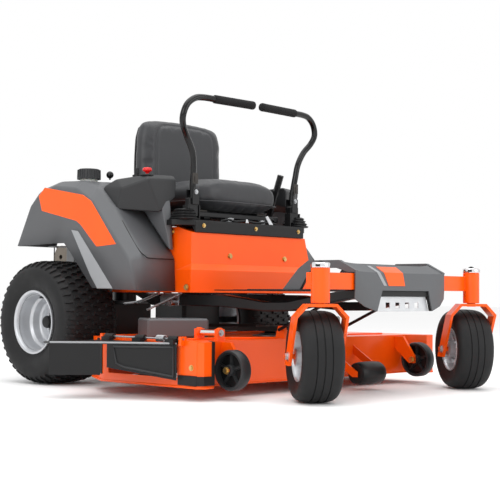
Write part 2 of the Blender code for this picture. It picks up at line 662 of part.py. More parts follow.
def rear_wheel(side):
    name = "right" if side < 0 else "left"
    w = REAR_TYRE_HALF_WIDTH
    outside = [(REAR_RIM_RADIUS + 0.0140, w - 0.0190), (0.1350, w - 0.0090), (0.1600, w), (0.1880, w - 0.0030),
               (0.2120, w - 0.0190), (0.2200, w - 0.0330), (REAR_TYRE_RADIUS, w - 0.0500)]
    tyre_profile = even_ring(outside) + [(REAR_RIM_RADIUS, 0.019 - w), (REAR_RIM_RADIUS, w - 0.019)]
    tyre = turned("rear_tyre_" + name, tyre_profile, (RUBBER, 0.75), REAR_SIDES)
    flange, lip = 0.1110, w - 0.0185
    r = REAR_RIM_RADIUS - GAP
    rim_profile = [(0.1140, flange), (0.1140, lip), (r, lip), (r, -lip), (0.1140, -lip), (0.1140, -flange),
                   (0.1030, -flange), (0.0930, -0.0900), (0.0930, -0.0060), (0.0160, -0.0060), (0.0160, 0.0240),
                   (0.0400, 0.0240), (0.0480, 0.0080), (0.0800, 0.0080), (0.0900, 0.0300), (0.0930, 0.0900),
                   (0.1030, flange)]
    rim = turned("rear_rim_" + name, rim_profile, (SILVER, 0.35, 0.3), REAR_SIDES)
    for piece in (tyre, rim):
        piece.location = (side * REAR_TRACK, 0.0, REAR_TYRE_RADIUS)
        piece.rotation_euler = (0.0, side * math.pi / 2, 0.0)


def caster(side):
    """Fork with its kingpin, and the wheel that trails behind it, turned together."""
    name = "right" if side < 0 else "left"
    stand = bpy.data.objects.new("caster_" + name, None)
    PARTS.objects.link(stand)
    stand.parent = MACHINE
    stand.location = (side * KINGPIN_X, KINGPIN_Y, 0.0)
    stand.rotation_euler = (0.0, 0.0, CASTER_TURN)
    before = set(PARTS.objects) | set(CUTTERS.objects)

    fork = cylinder("fork_" + name, (0.0, 0.0, 0.3550), "Z", 0.0150, 0.130, (ORANGE, 0.35), sides=20)
    cap = turned("cap", [(0.0290, 0.4210), (0.0290, 0.4078), (0.0010, 0.4078), (0.0010, 0.4150), (0.0110, 0.4160),
                         (0.0110, 0.4210)], None, 24)
    fuse(fork, cap)
    outer = FORK_HALF_GAP + FORK_PLATE
    shape = [(outer, 0.112), (outer, 0.262), (outer - 0.036, 0.300),
             (outer - 0.040, 0.291), (FORK_HALF_GAP, 0.2570), (FORK_HALF_GAP, 0.112)]
    outline = shape[:3] + [(-x, z) for x, z in reversed(shape[:3])]
    outline += [(-x, z) for x, z in reversed(shape[3:])] + shape[3:]
    yoke = slab("yoke", outline, "Z", -0.027, 0.027)
    yoke.data.transform(Matrix.Rotation(math.pi / 2, 4, "X"))
    lean = Matrix.Identity(4)
    lean[1][2] = -CASTER_TRAIL / (0.262 - FRONT_TYRE_RADIUS)
    for vertex in yoke.data.vertices:
        if vertex.co.z < 0.2600:
            vertex.co = lean @ (vertex.co - Vector((0, 0, 0.262))) + Vector((0, 0, 0.262))
    fuse(fork, yoke)
    axle = (0.0, CASTER_TRAIL, FRONT_TYRE_RADIUS)
    fuse(fork, cylinder("axle", axle, "X", 0.0080, 2 * outer + 0.018, sides=14))

    w = FRONT_TYRE_HALF_WIDTH
    outside = [(0.0790, 0.0470), (0.0980, w - 0.0030), (0.1150, w), (0.1300, w - 0.0090), (0.1370, w - 0.0250),
               (FRONT_TYRE_RADIUS, w - 0.0450)]
    tyre_profile = even_ring(outside) + [(FRONT_RIM_RADIUS, -0.0470), (FRONT_RIM_RADIUS, 0.0470)]
    tyre = turned("front_tyre_" + name, tyre_profile, (RUBBER, 0.7), FRONT_SIDES)
    r = FRONT_RIM_RADIUS - GAP
    rim_profile = [(0.0765, 0.0550), (0.0765, 0.0475), (r, 0.0475), (r, -0.0475), (0.0765, -0.0475),
                   (0.0765, -0.0550), (0.0660, -0.0550), (0.0620, -0.0200), (0.0300, -0.0140), (0.0280, -0.0600),
                   (0.0095, -0.0600), (0.0095, 0.0600), (0.0280, 0.0600), (0.0300, 0.0140), (0.0620, 0.0200),
                   (0.0660, 0.0550)]
    rim = turned("front_rim_" + name, rim_profile, (SILVER, 0.35, 0.3), FRONT_SIDES)
    for piece in (tyre, rim):
        piece.location = axle
        piece.rotation_euler = (0.0, math.pi / 2, 0.0)
    for piece in (set(PARTS.objects) | set(CUTTERS.objects)) - before:
        piece.parent = stand


# ---- controls -----------------------------------------------------------------------------
def lap_lever(side):
    """Hub between the tray's pivot plates, the bent bar that swings out on it, and the soft grip."""
    name = "right" if side < 0 else "left"
    hub = box("lever_hub_" + name, sorted((side * 0.2455, side * 0.2890)), (LEVER_Y - 0.011, LEVER_Y + 0.011),
              (0.600, 0.662), (BLACK, 0.4))
    rounded(hub, 0.002, 1)
    for y in (-0.0172, 0.0128):
        cheek = sorted((side * 0.2470, side * 0.2780))
        fuse(hub, box("cheek", cheek, (LEVER_Y + y, LEVER_Y + y + 0.0044), (0.640, 0.692)))
    fuse(hub, box("cheek foot", sorted((side * 0.2470, side * 0.2780)), (LEVER_Y - 0.017, LEVER_Y + 0.017), (0.641, 0.661)))
    pivot_at(hub, (side * 0.267, LEVER_Y, LEVER_PIVOT_Z))

    bend = [(LEVER_X, LEVER_Y, 0.668), (0.263, LEVER_Y, 0.702), (0.265, -0.492, 0.725), (0.270, -0.499, 0.775), (0.280, -0.503, 0.825),
            (0.309, -0.505, 0.873), (0.338, -0.517, 0.910), (0.348, -0.528, 0.944), (0.333, -0.533, 0.982),
            (0.300, -0.537, 1.006), (0.262, -0.540, 1.012), (0.215, -0.543, 1.012)]
    bar = tube("lap_bar_" + name, smooth_path(mirror_x(bend, side), 2), BAR_RADIUS, (BLACK, 0.25))
    pivot_at(bar, (side * LEVER_X, LEVER_Y, SWING_Z))
    grip = tube("grip_" + name, mirror_x([(0.2146, -0.5432, 1.0120), (0.020, -0.551, 1.0120)], side), GRIP_RADIUS,
                (BLACK, 0.7))
    pivot_at(grip, (side * LEVER_X, LEVER_Y, SWING_Z))


def knobs():
    """The console's three controls, each on its own joint."""
    pto = turned("pto_knob", [(0.0010, 0.7700), (0.0120, 0.7695), (0.0165, 0.7640), (0.0165, 0.7580), (0.0090, 0.7520),
                              (0.0060, 0.7460), (0.0010, 0.7460)], ((0.7, 0.02, 0.02), 0.35), 16)
    pto.location = (-0.372, -0.372, 0.0)
    key = box("ignition_key", (-0.3820, -0.3780), (-0.337, -0.313), (0.7480, 0.7700), (BLACK, 0.4))
    fuse(key, cylinder("key barrel", (-0.3800, -0.325, 0.7470), "Z", 0.0080, 0.010, sides=12))
    pivot_at(key, (-0.3800, -0.325, 0.747))
    stem = tube("throttle_lever", [(-0.350, -0.142, 0.7440), (-0.350, -0.142, 0.7560)], 0.0030, (BLACK, 0.4))
    bm = bmesh.new()
    bmesh.ops.create_uvsphere(bm, u_segments=12, v_segments=8, radius=0.0135,
                              matrix=Matrix.Translation((-0.350, -0.142, 0.7600)))
    pivot_at(fuse(stem, mesh_node("ball", bm)), (-0.350, -0.142, 0.7440))


# ---- seat ---------------------------------------------------------------------------------
def seat():
    """Pan on its front hinge, the cushion and the back. The pads are plain closed forms."""
    pan = rounded(box("seat_pan", (-0.215, 0.215), (-0.465, -0.115), (0.600, 0.622), (BLACK, 0.5)), 0.004, 1)
    for side in (-1, 1):
        foot = (side * 0.165, SEAT_PIVOT.y, SEAT_PIVOT.z)
        fuse(pan, cylinder("hinge foot", foot, "X", 0.0130, 0.030, sides=16))
    w = SEAT_HALF_WIDTH
    plan = [(0.0, -0.500), (0.130, -0.500), (0.185, -0.490), (0.222, -0.462), (w, -0.420), (w, -0.230),
            (0.205, -0.185), (0.0, -0.181)]
    cushion = rounded(slab("seat_cushion", mirrored(plan), "Z", 0.6230, 0.7520, ((0.07, 0.07, 0.075), 0.6)), 0.022, 2)
    half = [(0.0, 0.660), (0.150, 0.660), (0.200, 0.690), (0.214, 0.770), (0.214, 0.880), (0.200, 0.960),
            (0.160, 0.992), (0.0, 1.000)]
    back = slab("seat_back", mirrored(half), "Z", -0.045, 0.045, ((0.07, 0.07, 0.075), 0.6))
    back.data.transform(Matrix.Translation((0.0, -0.134, 0.0)) @ Matrix.Rotation(math.pi / 2, 4, "X"))
    rounded(back, 0.022, 2)
    for piece in (pan, cushion, back):
        pivot_at(piece, SEAT_PIVOT)


# ---- assembly -----------------------------------------------------------------------------
for side, hand in ((-1, "right"), (1, "left")):
    frame_rail("frame_rail_" + hand, side)
    fender("fender_" + hand, side)
    transaxle("transaxle_" + hand, side)
    belt_cover("belt_cover_" + hand, side)
    gauge_wheel("gauge_wheel_" + hand, side)
    rear_wheel(side)
    caster(side)
    lap_lever(side)
for place, (spindle_x, spindle_y) in SPINDLES.items():
    spindle("spindle_" + place, spindle_x, spindle_y)
    blade("blade_" + place, spindle_x, spindle_y, {"right": 20, "centre": 75, "left": -20}[place])
for build in (front_axle_beam, foot_pan, foot_fascia, step_tread, seat_box, lever_tray, engine_plate, rear_guard,
              engine_block, engine_shroud, muffler, fuel_tank, fuel_cap, battery, crank_pulley, deck_shell,
              deck_belt, chute_hinge_rod, chute_deflector, front_roller, deck_link, lift_lever, knobs, seat):
    build()
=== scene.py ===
# %% [markdown]
# A zero turn mower, finished in Blender.
#
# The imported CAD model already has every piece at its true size, on its true joint. This
# lesson dresses it: painted sheet steel, grained mouldings, turf tyres, a padded vinyl seat.
# Each step says what the real piece is, how it could be made, and why this way was taken.

import json
import math

import bmesh
import bpy
from mathutils import Matrix, Vector

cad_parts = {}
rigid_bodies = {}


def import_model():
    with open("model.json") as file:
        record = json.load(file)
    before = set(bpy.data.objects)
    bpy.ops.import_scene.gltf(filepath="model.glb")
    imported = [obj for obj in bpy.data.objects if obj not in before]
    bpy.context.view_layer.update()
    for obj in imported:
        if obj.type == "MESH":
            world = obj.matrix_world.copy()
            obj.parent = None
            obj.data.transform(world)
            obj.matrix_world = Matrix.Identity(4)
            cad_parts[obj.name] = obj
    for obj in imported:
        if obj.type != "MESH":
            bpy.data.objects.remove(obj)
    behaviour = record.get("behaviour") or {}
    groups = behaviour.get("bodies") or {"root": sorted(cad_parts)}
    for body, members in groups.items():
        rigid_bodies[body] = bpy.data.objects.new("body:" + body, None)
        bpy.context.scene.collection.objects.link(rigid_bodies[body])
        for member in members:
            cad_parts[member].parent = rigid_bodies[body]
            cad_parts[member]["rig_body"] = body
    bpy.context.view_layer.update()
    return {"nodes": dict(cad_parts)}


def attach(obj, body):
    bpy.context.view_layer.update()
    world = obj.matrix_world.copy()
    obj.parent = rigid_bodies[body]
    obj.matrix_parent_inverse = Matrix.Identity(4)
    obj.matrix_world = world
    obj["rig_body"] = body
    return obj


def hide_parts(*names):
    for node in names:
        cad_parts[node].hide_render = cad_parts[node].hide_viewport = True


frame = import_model()
nodes = frame["nodes"]

# %% [markdown]
# The machine is easiest to think about from the middle of its rear axle on the ground: its
# centre plane is then x = 0, and the operator's right is -X. The frame's own origin is the
# middle of the whole box, so every finished mesh is moved over by one vector at the end.

# %% Where the rear axle stands in the frame
REAR_AXLE = Vector((0.131, 0.35574, 0.0))
HANDS = {"right": -1, "left": 1}
print("rear axle at", tuple(REAR_AXLE))

# %% [markdown]
# ## Finishes
#
# A colour is picked as sRGB hex, and the shader wants linear light, so one function turns
# it. One small function adds a node, its settings and its wires. A finish is then two tones
# that drift into each other as paint and plastic really do, a grain of a real size in
# millimetres that lifts the surface, and a gloss that wanders a little with the tone.

# %% Colour and node helpers
def linear(colour):
    """'#rrggbb' as the linear RGBA a shader takes."""
    channels = [int(colour[i:i + 2], 16) / 255 for i in (1, 3, 5)]
    return tuple(c / 12.92 if c <= 0.04045 else ((c + 0.055) / 1.055) ** 2.4 for c in channels) + (1.0,)


def add(tree, kind, settings=(), **sockets):
    """A node with its settings, and each socket wired or set. _ in a socket's name is a space."""
    made = tree.nodes.new(kind)
    for name, value in dict(settings).items():
        setattr(made, name, value)
    for name, value in sockets.items():
        name = name.replace("_", " ")
        socket = made.inputs[int(name[1:])] if name[1:].isdigit() else made.inputs[name]
        if isinstance(value, bpy.types.NodeSocket):
            tree.links.new(value, socket)
        else:
            socket.default_value = value
    return made


# %% A finish: two tones, a grain and a gloss
def finish(name, tones, rough, drift_mm, grain_mm, lift_mm, cells=False, **shader):
    """tones and rough are (low, high) pairs that drift over drift_mm; grain_mm wide bumps rise lift_mm."""
    made = bpy.data.materials.new(name)
    made.use_nodes = True
    tree = made.node_tree
    surface = tree.nodes["Principled BSDF"]
    place = add(tree, "ShaderNodeTexCoord").outputs["Object"]
    drift = add(tree, "ShaderNodeTexNoise", Vector=place, Scale=1000 / drift_mm, Detail=4.0).outputs["Fac"]
    tone = add(tree, "ShaderNodeMix", {"data_type": "RGBA"}, Factor=drift, i6=linear(tones[0]),
               i7=linear(tones[1]))
    gloss = add(tree, "ShaderNodeMapRange", Value=drift, From_Min=0.3, From_Max=0.7, To_Min=rough[0],
                To_Max=rough[1])
    if cells:
        grain = add(tree, "ShaderNodeTexVoronoi", Vector=place, Scale=1000 / grain_mm).outputs["Distance"]
    else:
        grain = add(tree, "ShaderNodeTexNoise", Vector=place, Scale=1000 / grain_mm, Detail=2.0).outputs["Fac"]
    bump = add(tree, "ShaderNodeBump", Height=grain, Distance=lift_mm / 1000, Strength=1.0)
    tree.links.new(tone.outputs[2], surface.inputs["Base Color"])
    tree.links.new(gloss.outputs["Result"], surface.inputs["Roughness"])
    tree.links.new(bump.outputs["Normal"], surface.inputs["Normal"])
    for socket, value in shader.items():
        surface.inputs[socket.replace("_", " ")].default_value = value
    return made


# %% [markdown]
# Powder coat is sprayed dry and baked, so it flows into a faint orange peel of about 2 mm
# under a clear gloss. Moulded ABS and polypropylene take the spark-eroded grain of their
# mould and scatter light softly. That grain is a few tenths of a millimetre on the real
# piece, and it is drawn at 1.1 mm so that it shows. Tyre rubber is nearly black, dull and
# a little dusty. Tank polyethylene lets some light in. Seat vinyl, made with the seat, is
# calendered with a leather-like cell, drawn at 2.4 mm, a little coarser than the real one.

# %% Paints and plastics
FINISH = {
    "orange": finish("powder coated steel, orange", ("#f65200", "#fc5b00"), (0.28, 0.38), 120, 2.2, 0.02,
                     Coat_Weight=0.15, Coat_Roughness=0.12, Specular_IOR_Level=0.3),
    "black coat": finish("powder coated steel, black", ("#0a0a0b", "#121214"), (0.32, 0.44), 90, 2.0, 0.02,
                         Coat_Weight=0.1, Coat_Roughness=0.2, Specular_IOR_Level=0.3),
    "gloss bar": finish("enamelled steel tube, black", ("#050506", "#0c0c0d"), (0.14, 0.22), 60, 3.0, 0.01,
                        Coat_Weight=0.2, Coat_Roughness=0.06, Specular_IOR_Level=0.25),
    "grey plastic": finish("moulded ABS, dark grey", ("#4c4d4f", "#55575a"), (0.42, 0.52), 150, 1.1, 0.03,
                           cells=True),
    "pale plastic": finish("moulded ABS, light grey", ("#8b8d90", "#959799"), (0.40, 0.5), 150, 1.1, 0.03,
                           cells=True),
    "deep plastic": finish("moulded polypropylene, charcoal", ("#232425", "#2d2e30"), (0.38, 0.52), 110, 1.1,
                           0.04,
                           cells=True, Specular_IOR_Level=0.35),
    "black plastic": finish("moulded polypropylene, black", ("#0e0e0f", "#171718"), (0.36, 0.50), 80, 1.1, 0.04,
                            cells=True, Specular_IOR_Level=0.3),
    "tank": finish("blown polyethylene, natural", ("#c9c9c2", "#dcdcd6"), (0.35, 0.45), 60, 3.0, 0.03,
                   Subsurface_Weight=0.15),
    "red knob": finish("gloss nylon, red", ("#c00f10", "#d81a18"), (0.2, 0.28), 15, 1.5, 0.01),
    "rubber": finish("vulcanised tyre rubber", ("#0f0f10", "#1b1b1c"), (0.52, 0.7), 45, 1.4, 0.08,
                     Specular_IOR_Level=0.3),
    "foam": finish("nitrile foam grip", ("#101011", "#1a1a1b"), (0.75, 0.88), 20, 1.0, 0.08, cells=True,
                   Specular_IOR_Level=0.3),
    "belt": finish("fabric-backed belt rubber", ("#141414", "#1f1e1c"), (0.8, 0.9), 20, 0.9, 0.05),
}
print(len(FINISH), "paints and plastics")

# %% [markdown]
# Metals keep the default IOR and differ by how their surface was made: silver wheel paint
# holds metal flake, cast aluminium is pebbled, zinc plating is smooth with a faint
# yellow passivate on the bolts, a chromed cap mirrors the room, and hot or oiled steel is
# dark and dull.

# %% Metals
FINISH.update({
    "silver paint": finish("metallic wheel paint, silver", ("#b4b6ba", "#c8cacd"), (0.30, 0.42), 70, 1.2, 0.02,
                           Metallic=0.55, Coat_Weight=0.2),
    "zinc": finish("zinc plated steel", ("#a9abae", "#c2c4c6"), (0.25, 0.38), 30, 1.5, 0.01, Metallic=0.95),
    "yellow zinc": finish("yellow passivated bolt", ("#c9a765", "#dcbf85"), (0.25, 0.4), 12, 1.0, 0.01,
                          Metallic=0.95),
    "chrome": finish("polished nickel chrome cap", ("#d9dadc", "#e6e7e9"), (0.06, 0.12), 20, 2.0, 0.003,
                     Metallic=1.0),
    "cast": finish("die cast aluminium", ("#77797b", "#8e9092"), (0.45, 0.6), 40, 1.8, 0.10, Metallic=0.85),
    "tread plate": finish("satin aluminium plate", ("#c3c5c8", "#d6d8da"), (0.35, 0.5), 35, 1.0, 0.02,
                          Metallic=0.6),
    "dark steel": finish("oiled mild steel", ("#3a3836", "#504d4a"), (0.4, 0.6), 25, 1.6, 0.05, Metallic=0.9),
    "hot steel": finish("aluminised exhaust steel", ("#6d665e", "#8a8278"), (0.5, 0.65), 35, 1.6, 0.06,
                        Metallic=0.9),
})
print(len(FINISH), "finishes")

# %% [markdown]
# ## Making pieces
#
# Every piece here is a closed shape or a few of them in one mesh: blocks, bars, turned
# profiles, and tubes swept along a smooth line. Each helper adds one such shape to a
# bmesh. `piece` then moves the mesh into the frame, turns its faces outward, gives it a
# finish and rounded edges, and lets it ride its CAD body.

# %% Shapes that go into a mesh
def block(bm, x, y, z, turn=Matrix.Identity(4)):
    """A block between two limits on each axis."""
    size = [high - low for low, high in (x, y, z)]
    middle = [(high + low) / 2 for low, high in (x, y, z)]
    place = turn @ Matrix.Translation(middle) @ Matrix.Diagonal((*size, 1.0))
    bmesh.ops.create_cube(bm, size=1.0, matrix=place)


AXIS = {"X": Matrix.Rotation(math.pi / 2, 4, "Y"), "Y": Matrix.Rotation(-math.pi / 2, 4, "X"),
        "Z": Matrix.Identity(4)}


def rod(bm, middle, axis, radius, length, sides=24, top=None):
    """A round bar or, with top, a cone."""
    bmesh.ops.create_cone(bm, cap_ends=True, segments=sides, radius1=radius,
                          radius2=radius if top is None else top, depth=length,
                          matrix=Matrix.Translation(middle) @ AXIS[axis])


def plate(bm, outline, axis, low, high):
    """A flat outline given a thickness along an axis. Z takes (x, y), X takes (y, z), Y takes (x, z)."""
    at = {"Z": lambda a, b, c: (a, b, c), "X": lambda a, b, c: (c, a, b), "Y": lambda a, b, c: (a, c, b)}[axis]
    rings = [[bm.verts.new(at(a, b, c)) for a, b in outline] for c in (low, high)]
    bm.faces.new(rings[0])
    bm.faces.new(rings[1])
    for i in range(len(outline)):
        j = (i + 1) % len(outline)
        bm.faces.new((rings[0][i], rings[0][j], rings[1][j], rings[1][i]))


def smooth(points, per_span=6, closed=False):
    """Points on a Catmull-Rom curve through the given ones."""
    points = [Vector(p) for p in points]
    last = len(points) - 1
    path = []
    for i in range(len(points) if closed else last):
        picks = [(i + k) % (last + 1) if closed else min(max(i + k, 0), last) for k in (-1, 0, 1, 2)]
        a, b, c, d = (points[k] for k in picks)
        for t in (step / per_span for step in range(per_span)):
            path.append(0.5 * (2 * b + (c - a) * t + (2 * a - 5 * b + 4 * c - d) * t**2
                               + (3 * b - a - 3 * c + d) * t**3))
    return path if closed else path + [points[-1]]


def turned(bm, profile, place, steps=64):
    """A closed profile of (radius, height) turned about Z, then placed."""
    rings = []
    for k in range(steps):
        angle = 2 * math.pi * k / steps
        rings.append([bm.verts.new(place @ Vector((r * math.cos(angle), r * math.sin(angle), h)))
                      for r, h in profile])
    for ring, following in zip(rings, rings[1:] + rings[:1]):
        for i in range(len(profile)):
            j = (i + 1) % len(profile)
            bm.faces.new((ring[i], following[i], following[j], ring[j]))


def tube(bm, points, radius, sides=16):
    """A round bar along the points; radius may be one number or one for each point."""
    points = [Vector(p) for p in points]
    sizes = radius if isinstance(radius, (list, tuple)) else [radius] * len(points)
    along = (points[1] - points[0]).normalized()
    across = along.orthogonal().normalized()
    rings = []
    for i, point in enumerate(points):
        ahead = points[min(i + 1, len(points) - 1)] - points[max(i - 1, 0)]
        across = (across - across.project(ahead)).normalized()
        other = ahead.normalized().cross(across)
        angles = [2 * math.pi * k / sides for k in range(sides)]
        rings.append([bm.verts.new(point + sizes[i] * (math.cos(a) * across + math.sin(a) * other))
                      for a in angles])
    for ring, following in zip(rings, rings[1:]):
        for k in range(sides):
            j = (k + 1) % sides
            bm.faces.new((ring[k], ring[j], following[j], following[k]))
    bm.faces.new(rings[0])
    bm.faces.new(rings[-1])


def mirror_x(points, side):
    return [(side * p[0], *p[1:]) for p in points]


# %% A finished piece
made_pieces = []


def piece(name, bm, look, body, stands_for=(), round_mm=0.0, angle=40):
    """The mesh as an object in the frame, outward, finished and riding a body."""
    bmesh.ops.remove_doubles(bm, verts=bm.verts, dist=1e-6)
    bmesh.ops.recalc_face_normals(bm, faces=bm.faces)
    bmesh.ops.translate(bm, verts=bm.verts, vec=REAR_AXLE)
    data = bpy.data.meshes.new(name)
    bm.to_mesh(data)
    bm.free()
    return dress(bpy.data.objects.new(name, data), look, body, stands_for, round_mm, angle)


def dress(made, look, body, stands_for=(), round_mm=0.0, angle=40):
    """Finish, soft edges and a body for an object whose mesh already lies in the frame."""
    if made.name not in bpy.context.scene.collection.objects:
        bpy.context.scene.collection.objects.link(made)
    made.data.materials.clear()
    made.data.materials.append(FINISH[look])
    made.data.shade_smooth()
    if round_mm:
        edge = made.modifiers.new("rounded edges", "BEVEL")
        edge.width = round_mm / 1000
        edge.segments = 2
        edge.limit_method = "ANGLE"
        edge.angle_limit = math.radians(angle)
        edge.use_clamp_overlap = True
        made.modifiers.new("even shading", "WEIGHTED_NORMAL")
    made.data.set_sharp_from_angle(angle=math.radians(180 if round_mm else angle))
    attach(made, body)
    if stands_for:
        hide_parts(*stands_for)
    made_pieces.append(made.name)
    return made


def softened(node, look, round_mm, angle=30):
    """A CAD node's own shape with its coplanar triangles joined and its edges rounded."""
    bm = bmesh.new()
    bm.from_mesh(nodes[node].data)
    bmesh.ops.remove_doubles(bm, verts=bm.verts, dist=2e-5)
    bmesh.ops.dissolve_limit(bm, angle_limit=math.radians(1.0), verts=bm.verts, edges=bm.edges)
    data = bpy.data.meshes.new(node + " finished")
    bm.to_mesh(data)
    bm.free()
    body = nodes[node]["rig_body"]
    return dress(bpy.data.objects.new(node + "_finished", data), look, body, [node], round_mm, angle)


# %% [markdown]
# ## Three rules for what repeats
#
# Tread blocks and ribs go round an axle, louvres and fins march along a line, and bolts
# sit wherever a hole was punched. Geometry Nodes states each rule once, with its sizes
# as inputs. The result is turned into a plain mesh straight away.

# %% Geometry Nodes: shared setup
def new_tree(name, sockets):
    """A tree whose inputs are (name, kind) pairs after its geometry."""
    tree = bpy.data.node_groups.new(name, "GeometryNodeTree")
    tree.interface.new_socket("Geometry", in_out="INPUT", socket_type="NodeSocketGeometry")
    for label, kind in sockets:
        tree.interface.new_socket(label, in_out="INPUT", socket_type="NodeSocket" + kind)
    tree.interface.new_socket("Geometry", in_out="OUTPUT", socket_type="NodeSocketGeometry")
    return tree, add(tree, "NodeGroupInput").outputs


def close_tree(tree, instances, material):
    real = add(tree, "GeometryNodeRealizeInstances", Geometry=instances).outputs["Geometry"]
    painted = add(tree, "GeometryNodeSetMaterial", Geometry=real, Material=material).outputs["Geometry"]
    add(tree, "NodeGroupOutput", Geometry=painted)


def grown(bm, tree, **inputs):
    """The mesh that the tree grows from this one, as a new bmesh. _ in an input's name is a space."""
    data = bpy.data.meshes.new("seed")
    bm.to_mesh(data)
    bm.free()
    seed = bpy.data.objects.new("seed", data)
    bpy.context.scene.collection.objects.link(seed)
    step = seed.modifiers.new("rule", "NODES")
    step.node_group = tree
    sockets = {item.name: item.identifier for item in tree.interface.items_tree if item.in_out == "INPUT"}
    for name, value in inputs.items():
        step[sockets[name.replace("_", " ")]] = value
    result = bpy.data.meshes.new_from_object(seed.evaluated_get(bpy.context.evaluated_depsgraph_get()))
    bpy.data.objects.remove(seed)
    grown_mesh = bmesh.new()
    grown_mesh.from_mesh(result)
    return grown_mesh


# %% Rule 1: round an axle
ROUND_AXLE, given = new_tree("copies round an axle",
                             [("Copies", "Int"), ("Centre", "Vector"), ("Axle", "Vector"),
                                                     ("Finish", "Material")])
copy_points = add(ROUND_AXLE, "GeometryNodePoints", Count=given["Copies"]).outputs["Points"]
copies = add(ROUND_AXLE, "GeometryNodeInstanceOnPoints", Points=copy_points, Instance=given["Geometry"])
index = add(ROUND_AXLE, "GeometryNodeInputIndex").outputs["Index"]
share = add(ROUND_AXLE, "ShaderNodeMath", {"operation": "DIVIDE"}, i0=index, i1=given["Copies"]).outputs[0]
angle = add(ROUND_AXLE, "ShaderNodeMath", {"operation": "MULTIPLY"}, i0=share, i1=2 * math.pi).outputs[0]
turn = add(ROUND_AXLE, "FunctionNodeAxisAngleToRotation", Axis=given["Axle"], Angle=angle).outputs["Rotation"]
spun = add(ROUND_AXLE, "GeometryNodeRotateInstances", Instances=copies.outputs["Instances"], Rotation=turn,
           Pivot_Point=given["Centre"], Local_Space=False)
close_tree(ROUND_AXLE, spun.outputs["Instances"], given["Finish"])

# %% Rule 2: along a line
IN_A_ROW, given = new_tree("copies in a row", [("Copies", "Int"), ("Step", "Vector"), ("Finish", "Material")])
line = add(IN_A_ROW, "GeometryNodeMeshLine", {"mode": "OFFSET"}, Count=given["Copies"], Offset=given["Step"])
row = add(IN_A_ROW, "GeometryNodeInstanceOnPoints", Points=line.outputs["Mesh"], Instance=given["Geometry"])
close_tree(IN_A_ROW, row.outputs["Instances"], given["Finish"])

# %% Rule 3: a hex bolt with its washer at every point, facing the way the point says
BOLTS, given = new_tree("hex bolts at points", [("Across Corners", "Float"), ("Head Height", "Float"),
                                                ("Finish", "Material")])
radius = add(BOLTS, "ShaderNodeMath", {"operation": "MULTIPLY"}, i0=given["Across Corners"], i1=0.5).outputs[0]
wide = add(BOLTS, "ShaderNodeMath", {"operation": "MULTIPLY"}, i0=given["Across Corners"], i1=0.72).outputs[0]
head = add(BOLTS, "GeometryNodeMeshCylinder", Vertices=6, Radius=radius,
           Depth=given["Head Height"]).outputs["Mesh"]
half = add(BOLTS, "ShaderNodeMath", {"operation": "MULTIPLY"}, i0=given["Head Height"], i1=0.5).outputs[0]
lift = add(BOLTS, "ShaderNodeCombineXYZ", Z=half).outputs["Vector"]
head = add(BOLTS, "GeometryNodeTransform", Geometry=head, Translation=lift).outputs["Geometry"]
washer = add(BOLTS, "GeometryNodeMeshCylinder", Vertices=16, Radius=wide, Depth=0.0024).outputs["Mesh"]
both = add(BOLTS, "GeometryNodeJoinGeometry")
for shape in (washer, head):
    BOLTS.links.new(shape, both.inputs["Geometry"])
facing = add(BOLTS, "GeometryNodeInputNamedAttribute", {"data_type": "FLOAT_VECTOR"},
             Name="facing").outputs["Attribute"]
aim = add(BOLTS, "FunctionNodeAlignRotationToVector", {"axis": "Z"}, Vector=facing).outputs["Rotation"]
set_bolts = add(BOLTS, "GeometryNodeInstanceOnPoints", Points=given["Geometry"],
                Instance=both.outputs["Geometry"],
                Rotation=aim)
close_tree(BOLTS, set_bolts.outputs["Instances"], given["Finish"])


def bolts(name, marks, body, size_mm=13.0, look="yellow zinc"):
    """Bolts at (point, facing) marks, as one piece on one body."""
    bm = bmesh.new()
    way = bm.verts.layers.float_vector.new("facing")
    for point, facing_way in marks:
        bm.verts.new(point)[way] = Vector(facing_way)
    heads = grown(bm, BOLTS, Across_Corners=size_mm / 1000, Head_Height=size_mm / 2400, Finish=FINISH[look])
    return piece(name, heads, look, body)


print("three rules:", [tree.name for tree in (ROUND_AXLE, IN_A_ROW, BOLTS)])

# %% [markdown]
# ## Drive wheels
#
# A turf tyre is moulded in one piece: a round-shouldered carcass with staggered chevron
# blocks that grip grass without tearing it. The carcass is a turned profile. One pitch of
# tread is modelled as seven tapered blocks that follow the crown, and the axle rule
# repeats it. Sculpting or displacing the blocks would need far more faces.

# %% Tyre carcass profile
REAR_MIDDLE = {hand: Vector((side * 0.470, 0.0, 0.2225)) for hand, side in HANDS.items()}
CARCASS = [(0.1030, 0.0985), (0.1120, 0.1050), (0.1240, 0.1070), (0.1300, 0.1105), (0.1420, 0.1165),
           (0.1600, 0.1200), (0.1760, 0.1195), (0.1900, 0.1155), (0.2000, 0.1060), (0.2075, 0.0940),
           (0.2118, 0.0780), (0.2137, 0.0500), (0.2145, 0.0)]


def tyre_profile(outer, seat_radius, seat_half):
    """(radius, offset) from one bead over the crown to the other, and back along the seat."""
    over = [(v.x, v.y) for v in smooth([(r, a, 0) for r, a in outer], 3)]
    return over + [(r, -a) for r, a in reversed(over[:-1])] + [(seat_radius, -seat_half),
                                                               (seat_radius, seat_half)]


def crown(offset):
    """Radius of the carcass at a distance from the middle of the tread."""
    points = sorted((a, r) for r, a in CARCASS[5:])
    for (a0, r0), (a1, r1) in zip(points, points[1:]):
        if abs(offset) <= a1:
            return r0 + (r1 - r0) * (abs(offset) - a0) / (a1 - a0)
    return points[-1][1]


# %% One pitch of turf tread
PITCHES = 44
PITCH = 2 * math.pi / PITCHES
TREAD_TOP = 0.2222
LUG_ROOT, LUG_HEIGHT, LUG_TAPER = -0.002, 0.0076, 0.80


